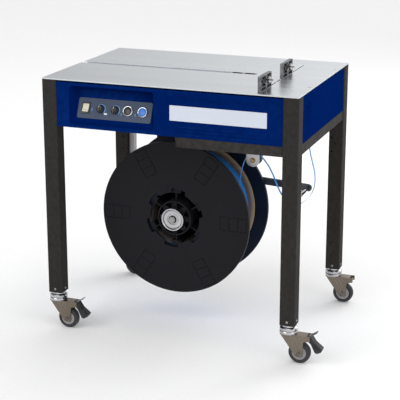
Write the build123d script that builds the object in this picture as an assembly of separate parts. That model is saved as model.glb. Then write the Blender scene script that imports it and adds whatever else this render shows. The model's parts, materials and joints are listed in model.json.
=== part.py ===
"""Semi-automatic strapping machine: a table on castors with a reel of strap hung under it.

Millimetres. +X is to the operator's right, +Y to the back and +Z up. The model is drawn about the
middle of the leg frame, and is moved as a whole at the end so that the origin lies on the floor
under the middle of its own outline.
"""

from build123d import *
import os
from math import atan2, cos, degrees, hypot, radians, sin, tan

# Table and legs
TABLE_LENGTH = 900.0  # along X, outside the legs
TABLE_DEPTH = 630.0  # along Y, outside the legs
TABLE_HEIGHT = 900.0  # top of the table plates above the floor
LEG_SIDE = 52.0
LEG_WALL = 2.5
LEG_CORNER = 4.0
LEG_BOTTOM = 132.0  # lower end of the leg tubes above the floor
PLATE_THICK = 2.0  # stainless table plates
PLATE_FOLD = 4.0  # height of their folded edges
LEG_TOP_GAP = 0.5  # between a leg's end and the plates' folded edges

# Castors
WHEEL_RADIUS = 37.5
WHEEL_WIDTH = 26.0
HUB_RADIUS = 24.0
CASTER_TRAIL = 39.0  # wheel axle behind the swivel axis
AXLE_RADIUS = 4.0
FORK_WALL = 2.5
FORK_GAP = 2.5  # beside the wheel, on each side
FORK_TOP = 101.0  # upper face of the fork's bridge above the floor
RACE_RADIUS = 23.0
INSERT_CLEARANCE = 0.3  # castor insert inside its leg
SPIN_GAP = 0.05  # radial clearance of every shaft in its bore
FACE_GAP = 0.4  # between faces that turn past each other

# Casing covers
FACE_INSET = 3.0  # cover faces behind the leg faces
COVER_WALL = 3.0
COVER_TOP = 890.0
COVER_BOTTOM = 736.0
COVER_RETURN = 22.0  # depth of the edges folded back
COVER_GAP = 0.5  # between a cover and a leg
VENT_RADIUS = 36.0
VENT_HOLE = 3.2

# Control recess and panel
RECESS_LEFT, RECESS_RIGHT = -349.0, -46.0
RECESS_BOTTOM, RECESS_TOP = 751.0, 878.0
PANEL_TILT = 23.0  # degrees back from upright
PANEL_LENGTH = 268.0
PANEL_HEIGHT = 70.0
PANEL_THICK = 2.0
PANEL_CORNER = 7.0
PANEL_MIDDLE_X = -191.0
PANEL_MIDDLE_Z = 804.0
PANEL_SINK = 19.0  # panel middle behind the leg faces
SEAT_MARGIN = 6.0  # flat seat round the panel
SEAT_DROP = 14.0  # top of the seat below the top of the recess's mouth
ROCKER_X, DIAL_X, SECOND_DIAL_X = -105.0, -51.0, 2.0  # along the panel from its middle
STOP_BUTTON_X, START_BUTTON_X = 50.0, 103.0
BUTTON_RADIUS = 14.0
BEZEL_RADIUS = 18.0
BEZEL_HEIGHT = 7.0
BUTTON_TRAVEL = 4.0
DIAL_RADIUS = 14.0
DIAL_HEIGHT = 16.0
ROCKER_WIDTH, ROCKER_HEIGHT = 22.0, 30.0
CONTROL_GAP = 0.4  # round each moving control

# Mechanism tray under the right of the casing
TRAY_LEFT = 30.0
TRAY_BOTTOM = 701.0
TRAY_WALL = 3.0

# Table top details
SEAM = 12.0  # front edge of the rear plate
SEAM_GAP = 2.5
CHUTE_WIDTH = 27.0
CHUTE_RIGHT = 110.0  # end of the strap chute, where the sealing head starts
HEAD_RIGHT = 210.0
CHUTE_DEPTH = 8.0
CHUTE_WALL = 2.0
STOP_SLOT_X = 311.0
STOP_SLOT_WIDTH = 4.5
STOP_SLOT_FRONT, STOP_SLOT_BACK = -289.0, 219.0

# Package stops
STOP_LENGTH = 108.0
STOP_HEIGHT = 50.0
STOP_THICK = 12.0
STOP_FRONT_Y, STOP_REAR_Y = -234.0, 4.0  # middle of each stop

# Reel of strap
REEL_X, REEL_Z = -51.0, 390.0
FLANGE_RADIUS = 275.0
FLANGE_THICK = 9.0
FLANGE_RIM = 13.0  # depth of the flange's rim
REEL_FRONT = -115.0  # front face of the front flange
COIL_WIDTH = 190.0
COIL_RADIUS = 204.0
CORE_BORE = 100.0  # inner radius of the coil's cardboard core
CORE_WALL = 4.0
BOARD_RADIUS = 228.0
BOARD_THICK = 3.0
REAR_FLANGE_GAP = 5.0  # between the side board and the rear flange
OPENING_RADIUS, NOTCH_RADIUS = 92.0, 108.0
SHAFT_RADIUS = 14.0
HUB_SLEEVE = 62.5
BRAKE_DRUM = 90.0
BRAKE_DRUM_WIDTH = 16.0

# Dancer arm
ARM_PIVOT_X, ARM_PIVOT_Z = -190.0, 509.0
ARM_END_X, ARM_END_Z = 365.0, 479.0
ARM_HEIGHT = 27.0
ARM_THICK = 7.0
ARM_BEHIND_REEL = 15.0  # arm behind the rear flange, clear of the brake drum
ARM_ROD_RADIUS = 6.0
PIVOT_RADIUS = 7.0

# Strap and its guide roller
STRAP_WIDTH = 12.0
STRAP_THICK = 0.8
GUIDE_X, GUIDE_Z = 203.0, 599.6
GUIDE_RADIUS = 19.0
GUIDE_LENGTH = 34.0
BRACKET_WIDTH = 48.0
BRACKET_WALL = 3.0
STRAP_ROUTE = [
    (154, 390), (153.2, 425), (151.2, 461), (150.5, 497), (152.5, 530), (158, 562), (167, 592),
    (181, 616), (203, 626), (224, 615), (241, 598), (257, 577), (271, 551), (284, 520),
    (297, 491), (317, 464), (346, 448), (374, 455), (399, 476), (416, 504), (423, 537),
    (421, 572), (412, 606), (403, 639), (398, 672), (396, 706),
]  # (X, Z) in the middle plane of the machine

# Rails between the legs
RAIL_WIDTH, RAIL_HEIGHT, RAIL_WALL = 25.0, 36.0, 2.0
CROSS_LEFT, CROSS_RIGHT = -205.0, 0.0  # middles of the two rails that carry the reel
CROSS_WIDTH = 30.0
KEEPER_ROOM = 2.0  # between a stop's keeper and the rails

# Screws and screw holes
REAR_RIGHT_HOLES = [(-3, 613), (-15, 634), (-15, 581), (-6, 235), (-6, 183)]
REAR_LEFT_HOLES = [(6, 564), (6, 518)]  # (offset from the leg's middle, height)
LEG_HOLE = 3.0  # radius of the spare holes in the rear legs
SCREW_SHANK = 2.5
SCREW_LENGTH = 9.0
SCREW_HEAD = 4.6
SCREW_HEAD_HEIGHT = 2.4
SCREW_DOME = 1.4  # rounding of the head
SHANK_GAP = 0.1
COVER_SCREWS = [(-1.0, 875.0), (-1.0, 762.0), (346.0, 879.0)]
SIDE_SCREW = (-165.0, 762.0)
PLATE_SCREW_Y, PLATE_SCREW_INSET = 152.0, 13.0
REAR_PLATE_SCREW_Y = 170.0
PLATE_SLOT = (12.0, 5.0)

# Trimmings of the casing
DUCT_SIZE = (18.0, 30.0)
DUCT_WALL = 1.5
DUCT_BOTTOM = 260.0
STRAP_SLOT = (12.0, 9.0)  # half length and half width of the strap's way into the tray
TRAY_HANGER = 40.0  # width of the straps that the tray hangs by
TRAY_SLANT = 7.0  # how far the tray's front left corner leans
RIB_HEIGHT = 1.2
RIB_WIDTH = 5.0
UPPER_RIB = [(9, 881), (33, 866), (315, 866), (330, 880)]
LOWER_RIBS = (770.5, 758.0, 745.5)
NAME_PLATE = (13.0, 345.0, 790.0, 841.0)
NAME_PLATE_THICK = 1.5
VENT_Y, VENT_Z = -188.0, 823.0
VENT_RINGS = 4
REAR_VENT_BANK, REAR_VENT_COUNT, REAR_VENT_PITCH = 230.0, 7, 16.0
REAR_VENT_WIDTH, REAR_VENT_LOW, REAR_VENT_HIGH = 6.0, 785.0, 845.0
INLET_Y, INLET_Z = 150.0, 800.0  # mains inlet in the left cover, in the cover's own frame
INLET_SIZE = (40.0, 22.0)
INLET_RIM = 5.0
INLET_DEPTH = 13.0
BOX_LEFT, BOX_RIGHT, BOX_FRONT, BOX_BACK = -360.0, -90.0, -215.0, 40.0  # electrical box
BOX_WALL = 2.0
BOX_LIFT = 20.0  # above the covers' lower edge
BOX_DROP = 4.0  # below the rails

# Details of the castors
INSERT_HEIGHT = 30.0
MOUNT_FLANGE = 6.0  # thickness of the race's upper plate
SWIVEL_PIN = 6.0
BRIDGE_MARGIN = 3.0  # fork's bridge beyond the race
AXLE_END = 5.0
AXLE_NUT = (7.5, 5.0)
TYRE_ROUND = 6.0
HUB_RECESS = 5.0  # depth of the grooves in the wheel's hub
HUB_CORE = 12.0
PEDAL_REACH = 118.0  # brake pedal's far end from the swivel axis
PEDAL_HALF = 13.0
PEDAL_PIN = 3.0
PEDAL_HORN = 6.0  # fork's cheeks beyond the pedal's pivot

# Details of the table top
STOP_KEEPER = 14.0  # half the length of the gap round a stop's keeper
KEEPER_THICK = 4.0
KEEPER_HALF = (11.0, 16.0)
CHUTE_GAP = 1.0
CHUTE_SIDE = 1.5
CHUTE_INSET = 12.0
STOP_RIM = 3.0
STOP_SHELF = 12.0  # foot rib above a stop's lower edge
STOP_POST = 14.0  # width of the post behind the knob
KEY_GAP = 0.3
KNOB_STEM = 3.0
KNOB_OFFSET = 7.0  # star knob in front of the stop's face
KNOB_DISC, KNOB_LOBE, KNOB_LOBE_AT = 9.0, 4.2, 8.5
KNOB_THICK = 6.0

# Details of the controls
ROCKER_TILT = 9.0  # degrees either side of level
ROCKER_HIGH, ROCKER_LOW = 3.5, 1.6  # rocker's ends and middle above its pivot
ROCKER_TRIM = 0.8
ROCKER_FRAME = 4.5
BUTTON_SINK = 1.0  # button's face below its ring
SPINDLE_HOLE, SPINDLE = 4.0, 3.9
SPINDLE_DEPTH = 10.0
FIN_WIDTH = 5.0

# Details of the reel
RECESS_LENGTH, RECESS_WIDTH = 98.0, 50.0
RECESS_ANGLES = (0, 57, 120, 180, 237, 300)
RECESS_LINE = 2.5
RECESS_DEPTH = 3.0
RECESS_EDGE = 8.0  # recesses inside the flange's rim
NOTCHES, NOTCH_START, NOTCH_WIDTH = 6, 22.0, 52.0
RIM_WALL = 4.0
HUB_FRONT = 3.0  # hub in front of the flange
HUB_WALL = 5.0
HUB_MOUTH, HUB_DISC = 26.0, 8.0  # depth of the hub's mouth and its inner disc
HUB_BOSS_WALL = 9.0
HUB_RIBS, HUB_RIB_THICK = 8, 3.0
HUB_BARS, HUB_BAR_START, HUB_BAR_THICK = 6, 30.0, 4.0
SHOE_DEPTH, SHOE_WIDTH = 12.0, 36.0
CORE_GAP = 0.3  # between the hub's bars and the core
WASHER_RADIUS, WASHER_THICK, WASHER_RIM, WASHER_DISH = 41.0, 9.0, 5.0, 2.5
WASHER_RING = (21.0, 17.5, 6.0)
SHAFT_FRONT = 15.0  # shaft's end in front of the flange
SHAFT_COLLAR = 8.0
NUT_RADIUS, NUT_ROUND, NUT_END = 12.0, 13.0, 13.0
HANGER_WALL = 5.0
HANGER_BEHIND_ARM = 8.0
HANGER_FOOT = 55.0  # half width of the hanger's lower end
HANGER_DROP = 60.0  # hanger's lower end below the shaft
HANGER_SHOULDER = 150.0  # its right shoulder above the shaft
HANGER_FOLDS = (60.0, 35.0)
HANGER_PIVOT_DROP = 40.0
PIVOT_COLLAR, PIVOT_HEAD = 5.0, 8.0
ROD_END = 6.0  # arm's rod beyond the strap's edge
SHOE_LIFT = 0.6  # between the brake shoe and the drum at rest
SHOE_HALF = 22.0
SHOE_INSET = 4.0

# Guide roller
BOLT_RADIUS = 4.0
BOLT_HEAD = (8.0, 6.0)
ROLLER_END = 3.0  # height of its raised ends
ROLLER_MARGIN = 4.0  # beside the strap

# Mechanism inside the casing
SHAFT_Z = 752.0  # camshaft height
CAM_X = 160.0
CAM_ANGLES = (0, 100, 200, 290)
CAM_RADIUS, CAM_THROW, CAM_WIDTH, CAM_FIRST, CAM_PITCH = 24.0, 7.0, 12.0, -52.0, 26.0
MOTOR_X, MOTOR_Z = 335.0, 768.0
MOTOR_RADIUS, MOTOR_LENGTH = 42.0, 110.0
MOTOR_SHAFT, MOTOR_SHAFT_LENGTH = 6.0, 14.0
MOTOR_BEHIND_BELT = 6.0
MOTOR_FOOT, MOTOR_BOX = (34.0, 12.0), (25.0, 20.0, 56.0)
BELT_Y = (112.0, 124.0)
BELT_THICK = 3.0
BELT_GAP = 0.3
CAM_PULLEY, MOTOR_PULLEY, PULLEY_RIM = 40.0, 16.0, 4.0
FEED_X, FEED_Z, FEED_RADIUS, PINCH_RADIUS = 258.0, 805.0, 26.0, 17.0
NIP_GAP = 1.2  # between the feed and pinch rollers
NIP_HALF = 14.0
FEED_PLATE_Y = 24.0
ROLLER_SHAFT = 6.0
CAMSHAFT_RADIUS = 9.0
HEAD_BRIDGE_Z, HEAD_TOP = 836.0, 868.0
HEAD_FRONT, HEAD_BACK, HEAD_PLATE = -70.0, 84.0, 6.0
HEAD_MARGIN = 8.0
ANVIL_BARS = ((110.0, 118.0), (155.0, 163.0), (201.0, 209.0))
ANVIL_EDGE = 9.0

# Derived places
RAIL_TOP = TABLE_HEIGHT - CHUTE_DEPTH - CHUTE_WALL
RACE_TOP = FORK_TOP + 12  # where the turning half of the race ends
PEDAL_PIVOT = (CASTER_TRAIL + 32, FORK_TOP - 8)  # (X, Z) from the swivel axis
SCREW_HEIGHT = LEG_BOTTOM + 13  # screws that hold the castor inserts
KEEPER_BOTTOM = TABLE_HEIGHT - PLATE_THICK - FACE_GAP - KEEPER_THICK
STOP_KNOB_Z = TABLE_HEIGHT + 32
ROCKER_CUT = ROCKER_HEIGHT / 2 - ROCKER_TRIM
BOARD_FRONT = REEL_FRONT + FLANGE_RIM + FACE_GAP + COIL_WIDTH
REAR_FLANGE = BOARD_FRONT + BOARD_THICK + REAR_FLANGE_GAP
REAR_FACE = REAR_FLANGE + FLANGE_RIM
ARM_FRONT = REAR_FACE + ARM_BEHIND_REEL - ARM_THICK
HANGER_FRONT = ARM_FRONT + ARM_THICK + HANGER_BEHIND_ARM
SHAFT_END = REEL_FRONT - SHAFT_FRONT
ARM_ANGLE = atan2(ARM_END_Z - ARM_PIVOT_Z, ARM_END_X - ARM_PIVOT_X)
ARM_LENGTH = hypot(ARM_END_X - ARM_PIVOT_X, ARM_END_Z - ARM_PIVOT_Z)
ROD_FRONT = -STRAP_WIDTH / 2 - ROD_END
PINCH_Z = FEED_Z + FEED_RADIUS + NIP_GAP + PINCH_RADIUS
PANEL_MIDDLE_Y = -(TABLE_DEPTH / 2) + PANEL_SINK
PANEL = Plane(
    origin=(PANEL_MIDDLE_X, PANEL_MIDDLE_Y, PANEL_MIDDLE_Z),
    x_dir=(1, 0, 0),
    z_dir=(0, -cos(radians(PANEL_TILT)), sin(radians(PANEL_TILT))),
)
LEG_X = TABLE_LENGTH / 2 - LEG_SIDE / 2
LEG_Y = TABLE_DEPTH / 2 - LEG_SIDE / 2
INNER_X = TABLE_LENGTH / 2 - LEG_SIDE  # inner faces of the legs
INNER_Y = TABLE_DEPTH / 2 - LEG_SIDE
FACE_X = TABLE_LENGTH / 2 - FACE_INSET
FACE_Y = TABLE_DEPTH / 2 - FACE_INSET
LEG_TOP = TABLE_HEIGHT - PLATE_FOLD - LEG_TOP_GAP
OVERHANG = LEG_X + PEDAL_REACH - TABLE_LENGTH / 2
CORNERS = {
    "front_left": (-LEG_X, -LEG_Y),
    "front_right": (LEG_X, -LEG_Y),
    "rear_left": (-LEG_X, LEG_Y),
    "rear_right": (LEG_X, LEG_Y),
}


def block(x0, x1, y0, y1, z0, z1):
    """A box between two corners."""
    middle = Pos((x0 + x1) / 2, (y0 + y1) / 2, (z0 + z1) / 2)
    return middle * Box(abs(x1 - x0), abs(y1 - y0), abs(z1 - z0))


def rod_z(x, y, radius, z0, z1):
    """An upright cylinder."""
    return Pos(x, y, (z0 + z1) / 2) * Cylinder(radius, abs(z1 - z0))


def rod_y(x, z, radius, y0, y1):
    """A cylinder that lies front to back."""
    return Pos(x, (y0 + y1) / 2, z) * Rot(90, 0, 0) * Cylinder(radius, abs(y1 - y0))


def rod_x(y, z, radius, x0, x1):
    """A cylinder that lies left to right."""
    return Pos((x0 + x1) / 2, y, z) * Rot(0, 90, 0) * Cylinder(radius, abs(x1 - x0))


def side_profile(points, y0, y1):
    """A polygon in XZ, given as (x, z), from y0 to y1."""
    outline = make_face(Polyline([Vector(x, y0, z) for x, z in points], close=True))
    return extrude(outline, abs(y1 - y0), dir=(0, 1, 0))


def polar(count, start=0.0):
    """Angles in degrees, evenly round a circle."""
    return [start + 360 * i / count for i in range(count)]


# ---------------------------------------------------------------- legs and frame
def leg(name):
    """A square tube, with the screw holes of its castor insert."""
    x, y = CORNERS[name]
    tube = Pos(x, y, LEG_BOTTOM) * extrude(
        RectangleRounded(LEG_SIDE, LEG_SIDE, LEG_CORNER)
        - Rectangle(LEG_SIDE - 2 * LEG_WALL, LEG_SIDE - 2 * LEG_WALL),
        LEG_TOP - LEG_BOTTOM,
    )
    hole = SCREW_SHANK + SHANK_GAP
    tube -= rod_y(x, SCREW_HEIGHT, hole, y - LEG_SIDE, y)
    tube -= rod_x(y, SCREW_HEIGHT, hole, x, x + LEG_SIDE)
    holes = {"rear_right": REAR_RIGHT_HOLES, "rear_left": REAR_LEFT_HOLES}.get(name, [])
    for offset, height in holes:
        tube -= rod_y(x + offset, height, LEG_HOLE, y - LEG_SIDE, y)
    return tube


def top_frame():
    """Four rails between the legs, and two across them that carry the reel and the tray."""
    z0, z1 = RAIL_TOP - RAIL_HEIGHT, RAIL_TOP
    inner_y = INNER_Y - RAIL_WIDTH
    rails = []
    for side in (-1, 1):
        y0, y1 = sorted((side * INNER_Y, side * inner_y))
        hollow = block(-INNER_X, INNER_X, y0 + RAIL_WALL, y1 - RAIL_WALL, z0 + RAIL_WALL, z1 - RAIL_WALL)
        rails.append(block(-INNER_X, INNER_X, y0, y1, z0, z1) - hollow)
        x0, x1 = sorted((side * INNER_X, side * (INNER_X + RAIL_WIDTH)))
        hollow = block(x0 + RAIL_WALL, x1 - RAIL_WALL, -INNER_Y, INNER_Y, z0 + RAIL_WALL, z1 - RAIL_WALL)
        rails.append(block(x0, x1, -INNER_Y, INNER_Y, z0, z1) - hollow)
    for x in (CROSS_LEFT, CROSS_RIGHT):
        x0, x1 = x - CROSS_WIDTH / 2, x + CROSS_WIDTH / 2
        hollow = block(x0 + RAIL_WALL, x1 - RAIL_WALL, -inner_y, inner_y, z0 + RAIL_WALL, z1 - RAIL_WALL)
        rails.append(block(x0, x1, -inner_y, inner_y, z0, z1) - hollow)
    slot = block(
        STOP_SLOT_X - STOP_KEEPER, STOP_SLOT_X + STOP_KEEPER,
        -TABLE_DEPTH, TABLE_DEPTH, KEEPER_BOTTOM - KEEPER_ROOM, TABLE_HEIGHT,
    )
    return Compound([rail - slot for rail in rails])


def mechanism_tray():
    """The folded tray that carries the strapping mechanism, open at its top."""
    edge_y, edge_x = FACE_Y - 1, FACE_X
    z1 = COVER_BOTTOM - COVER_GAP
    outside = block(TRAY_LEFT, edge_x, -edge_y, edge_y, TRAY_BOTTOM, z1)
    inside = block(
        TRAY_LEFT + TRAY_WALL, edge_x - TRAY_WALL, -edge_y + TRAY_WALL, edge_y - TRAY_WALL,
        TRAY_BOTTOM + TRAY_WALL, z1 + 1,
    )
    tray = outside - inside
    for side in (-1, 1):
        tray -= block(
            INNER_X - COVER_GAP, TABLE_LENGTH, side * (INNER_Y - COVER_GAP), side * TABLE_DEPTH,
            TRAY_BOTTOM - 1, z1 + 1,
        )
        outer_y = side * (INNER_Y - RAIL_WIDTH)
        inner_y = outer_y - side * TRAY_HANGER
        hook = RAIL_TOP - RAIL_HEIGHT
        tray += block(TRAY_LEFT, TRAY_LEFT + TRAY_WALL, inner_y, outer_y, z1, hook)
        tray += block(CROSS_RIGHT - CROSS_WIDTH / 2, TRAY_LEFT + TRAY_WALL, inner_y, outer_y,
                      hook - TRAY_WALL, hook)
    half_long, half_wide = STRAP_SLOT
    end_x = STRAP_ROUTE[-1][0]
    tray -= block(
        end_x - half_long, end_x + half_long, -half_wide, half_wide,
        TRAY_BOTTOM - 1, TRAY_BOTTOM + TRAY_WALL + 1,
    )
    slant = side_profile(
        [(TRAY_LEFT - 1, TRAY_BOTTOM - 1), (TRAY_LEFT + TRAY_SLANT, TRAY_BOTTOM - 1),
         (TRAY_LEFT - 1, z1 + 1)], -edge_y - 1, -edge_y + TRAY_WALL,
    )
    return tray - slant


def wiring_duct():
    """The trunking beside the rear left leg, from the casing down to the reel's height."""
    x0 = -INNER_X + 1
    y1 = TABLE_DEPTH / 2 - 8
    wide, deep = DUCT_SIZE
    outside = block(x0, x0 + wide, y1 - deep, y1, DUCT_BOTTOM, COVER_BOTTOM - 1)
    inside = block(x0 + DUCT_WALL, x0 + wide - DUCT_WALL, y1 - deep + DUCT_WALL, y1 - DUCT_WALL,
                   DUCT_BOTTOM + DUCT_WALL, COVER_BOTTOM)
    return outside - inside


# ---------------------------------------------------------------- castors
def caster_mounts():
    """Four inserts in the legs' ends, each with the fixed half of its castor's swivel race."""
    side = LEG_SIDE - 2 * LEG_WALL - 2 * INSERT_CLEARANCE
    flange = LEG_SIDE - 4
    mounts = []
    for x, y in CORNERS.values():
        mount = block(x - side / 2, x + side / 2, y - side / 2, y + side / 2,
                      LEG_BOTTOM, LEG_BOTTOM + INSERT_HEIGHT)
        mount += block(x - flange / 2, x + flange / 2, y - flange / 2, y + flange / 2,
                       LEG_BOTTOM - MOUNT_FLANGE, LEG_BOTTOM)
        mount += rod_z(x, y, RACE_RADIUS, RACE_TOP, LEG_BOTTOM - MOUNT_FLANGE)
        mount += rod_z(x, y, SWIVEL_PIN, FORK_TOP - FORK_WALL - SWIVEL_PIN, LEG_BOTTOM)
        hole = SCREW_SHANK + SHANK_GAP
        mount -= rod_y(x, SCREW_HEIGHT, hole, y - LEG_SIDE, y - 8)
        mount -= rod_x(y, SCREW_HEIGHT, hole, x + 8, x + LEG_SIDE)
        mounts.append(mount)
    return Compound(mounts)


def caster_fork():
    """The swivelling fork with its axle, drawn about the swivel axis."""
    half = WHEEL_WIDTH / 2 + FORK_GAP
    px, pz = PEDAL_PIVOT
    bridge = block(-RACE_RADIUS - BRIDGE_MARGIN, px - PEDAL_HORN, -half - FORK_WALL, half + FORK_WALL,
                   FORK_TOP - FORK_WALL, FORK_TOP)
    cheek = [
        (-RACE_RADIUS - BRIDGE_MARGIN, FORK_TOP), (px + PEDAL_HORN, FORK_TOP),
        (px + PEDAL_HORN, FORK_TOP - 16), (CASTER_TRAIL + 16, FORK_TOP - 22),
        (CASTER_TRAIL + 12, WHEEL_RADIUS - 12), (CASTER_TRAIL - 10, WHEEL_RADIUS - 12),
    ]
    fork = bridge
    for side in (-1, 1):
        inner, outer = side * half, side * (half + FORK_WALL)
        fork += side_profile(cheek, min(inner, outer), max(inner, outer))
    fork += rod_z(0, 0, RACE_RADIUS, FORK_TOP, RACE_TOP - FACE_GAP)
    fork -= rod_z(0, 0, SWIVEL_PIN + SPIN_GAP, 0, RACE_TOP)
    fork += rod_y(px, pz, PEDAL_PIN, -half - FORK_WALL, half + FORK_WALL)
    reach = half + FORK_WALL + AXLE_END
    nut_radius, nut_thick = AXLE_NUT
    axle = rod_y(CASTER_TRAIL, WHEEL_RADIUS, AXLE_RADIUS, -reach, reach)
    for side in (-1, 1):
        y0 = side * (half + FORK_WALL)
        axle += Pos(CASTER_TRAIL, y0 + side * nut_thick / 2, WHEEL_RADIUS) * Rot(90, 0, 0) * extrude(
            RegularPolygon(nut_radius, 6), nut_thick / 2, both=True)
    return fork + axle


def caster_wheel():
    """Hub and tyre of one wheel, drawn about the swivel axis."""
    half = WHEEL_WIDTH / 2
    x, z = CASTER_TRAIL, WHEEL_RADIUS
    tyre = rod_y(x, z, WHEEL_RADIUS, -half, half)
    tyre = fillet(tyre.edges().filter_by(GeomType.CIRCLE), TYRE_ROUND)
    tyre -= rod_y(x, z, HUB_RADIUS, -half, half)
    hub = rod_y(x, z, HUB_RADIUS, -half + 1, half - 1)
    groove = rod_y(x, z, HUB_RADIUS - 3, -half, -half + HUB_RECESS)
    groove -= rod_y(x, z, HUB_CORE, -half, -half + HUB_RECESS)
    hub -= groove
    hub -= mirror(groove, Plane.XZ)
    hub -= rod_y(x, z, AXLE_RADIUS + SPIN_GAP, -half, half)
    return Compound([tyre, hub])


def brake_pedal():
    """The brake's pedal with its lift tab, hung from the fork's horn."""
    px, pz = PEDAL_PIVOT
    tip_x = PEDAL_REACH
    outline = [
        (px - 4, pz + 7), (px + 8, pz + 7), (px + 22, pz - 14), (tip_x, pz - 33),
        (tip_x - 3, pz - 42), (tip_x - 17, pz - 50), (tip_x - 23, pz - 48), (px + 9, pz - 18),
        (px - 4, pz - 8),
    ]
    pedal = side_profile(outline, -PEDAL_HALF, PEDAL_HALF)
    tab = side_profile(
        [(px + 2, pz + 7), (px + 7, pz + 7), (px + 28, pz + 21), (px + 27, pz + 23.5)],
        -PEDAL_HALF + 2, PEDAL_HALF - 2)
    return pedal + tab - rod_y(px, pz, PEDAL_PIN + SPIN_GAP, -PEDAL_HALF, PEDAL_HALF)


# ---------------------------------------------------------------- covers
def cover_shell(half_length, face_wall=COVER_WALL):
    """A shallow open box that faces -Y, with its outer face at Y=0."""
    outside = block(-half_length, half_length, 0, COVER_RETURN, COVER_BOTTOM, COVER_TOP)
    inside = block(-half_length + COVER_WALL, half_length - COVER_WALL, face_wall,
                   COVER_RETURN + 1, COVER_BOTTOM + COVER_WALL, COVER_TOP - COVER_WALL)
    return outside - inside


def seat_edges(depth):
    """Bottom and top of the tilted seat in (Y, Z), a depth behind the panel's front."""
    t = radians(PANEL_TILT)
    low = PANEL_HEIGHT / 2 + SEAT_MARGIN
    y, z = PANEL_MIDDLE_Y + depth * cos(t), PANEL_MIDDLE_Z - depth * sin(t)
    rise = (RECESS_TOP - SEAT_DROP - z) / cos(t)
    return (y - low * sin(t), z - low * cos(t)), (y + rise * sin(t), z + rise * cos(t))


def recess(grow, front):
    """The control recess as a solid: from its mouth in the cover back to the tilted seat."""
    (y0, z0), (y1, z1) = seat_edges(PANEL_THICK + grow)
    left = PANEL_MIDDLE_X - PANEL_LENGTH / 2 - SEAT_MARGIN - grow
    right = PANEL_MIDDLE_X + PANEL_LENGTH / 2 + SEAT_MARGIN + grow
    mouth = [
        (RECESS_LEFT - grow, front, RECESS_BOTTOM - grow),
        (RECESS_RIGHT + grow, front, RECESS_BOTTOM - grow),
        (RECESS_RIGHT + grow, front, RECESS_TOP + grow),
        (RECESS_LEFT - grow, front, RECESS_TOP + grow),
    ]
    seat = [(left, y0, z0 - grow), (right, y0, z0 - grow), (right, y1, z1 + grow),
            (left, y1, z1 + grow)]
    faces = [make_face(Polyline([Vector(*p) for p in loop], close=True)) for loop in (mouth, seat)]
    return loft(faces, ruled=True)


def embossed(points):
    """A pressed rib that follows points in the cover's face."""
    front = -FACE_Y
    ribs = []
    for (xa, za), (xb, zb) in zip(points, points[1:]):
        length = hypot(xb - xa, zb - za)
        bar = Pos((xa + xb) / 2, front, (za + zb) / 2) * Rot(0, -degrees(atan2(zb - za, xb - xa)), 0)
        ribs.append(bar * Box(length + RIB_WIDTH * 0.4, 2 * RIB_HEIGHT, RIB_WIDTH))
    solid = ribs[0]
    for rib in ribs[1:]:
        solid += rib
    return solid


def control_cutouts(depth):
    """Room behind the panel for the switch, the buttons and the dials' spindles."""
    cuts = [on_panel(ROCKER_X, Rectangle(ROCKER_WIDTH + 4, ROCKER_HEIGHT + 4), -depth, 0)]
    for x in (DIAL_X, SECOND_DIAL_X):
        cuts.append(on_panel(x, Circle(SPINDLE_HOLE + 2), -depth, 0))
    for x in (STOP_BUTTON_X, START_BUTTON_X):
        cuts.append(on_panel(x, Circle(BUTTON_RADIUS + 2), -depth, 0))
    return cuts


def front_cover():
    """The moulded front cover, with the control recess and its pressed ribs."""
    front = -FACE_Y
    cover = Pos(0, front, 0) * cover_shell(INNER_X - COVER_GAP)
    cover += recess(COVER_WALL, front) & block(
        RECESS_LEFT - 9, RECESS_RIGHT + 9, front, 0, COVER_BOTTOM, COVER_TOP)
    cover -= recess(0, front - 0.01)
    for cut in control_cutouts(20):
        cover -= cut
    cover += embossed(UPPER_RIB)
    for i, z in enumerate(LOWER_RIBS):
        cover += embossed([(39 - 9 * i, z), (272 + 4 * i, z)])
        cover += embossed([(283 + 4 * i, z), (314 + 12 * i, z)])
    for x, z in COVER_SCREWS:
        cover -= rod_y(x, z, SCREW_SHANK + SHANK_GAP, front - 5, front + 5)
    return cover


def control_panel():
    """The grey plate in the recess, with its cut-outs."""
    plate = RectangleRounded(PANEL_LENGTH, PANEL_HEIGHT, PANEL_CORNER)
    plate -= Pos(ROCKER_X, 0) * Rectangle(ROCKER_WIDTH + 2, ROCKER_HEIGHT + 2)
    for x in (DIAL_X, SECOND_DIAL_X):
        plate -= Pos(x, 0) * Circle(SPINDLE_HOLE)
    for x in (STOP_BUTTON_X, START_BUTTON_X):
        plate -= Pos(x, 0) * Circle(BUTTON_RADIUS + CONTROL_GAP)
    return PANEL * extrude(plate, -PANEL_THICK)


def side_cover(side):
    """The left (-1) or right (1) cover. The right one has the fan's vent."""
    cover = cover_shell(INNER_Y - COVER_GAP)
    if side > 0:
        for ring in range(VENT_RINGS):
            reach = ring * (VENT_RADIUS - VENT_HOLE) / (VENT_RINGS - 1)
            for angle in polar(6 * ring) or [0.0]:
                x = VENT_Y + reach * cos(radians(angle))
                z = VENT_Z + reach * sin(radians(angle))
                cover -= rod_y(x, z, VENT_HOLE, -5, 10)
        cover -= rod_y(SIDE_SCREW[0], SIDE_SCREW[1], SCREW_SHANK + SHANK_GAP, -5, 10)
        return Pos(FACE_X, 0, 0) * Rot(0, 0, 90) * cover
    wide, high = INLET_SIZE[0] / 2 + INLET_RIM + 1, INLET_SIZE[1] / 2 + INLET_RIM
    cover -= block(INLET_Y - wide, INLET_Y + wide, -5, 10, INLET_Z - high, INLET_Z + high)
    return Pos(-FACE_X, 0, 0) * Rot(0, 0, -90) * cover


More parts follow.
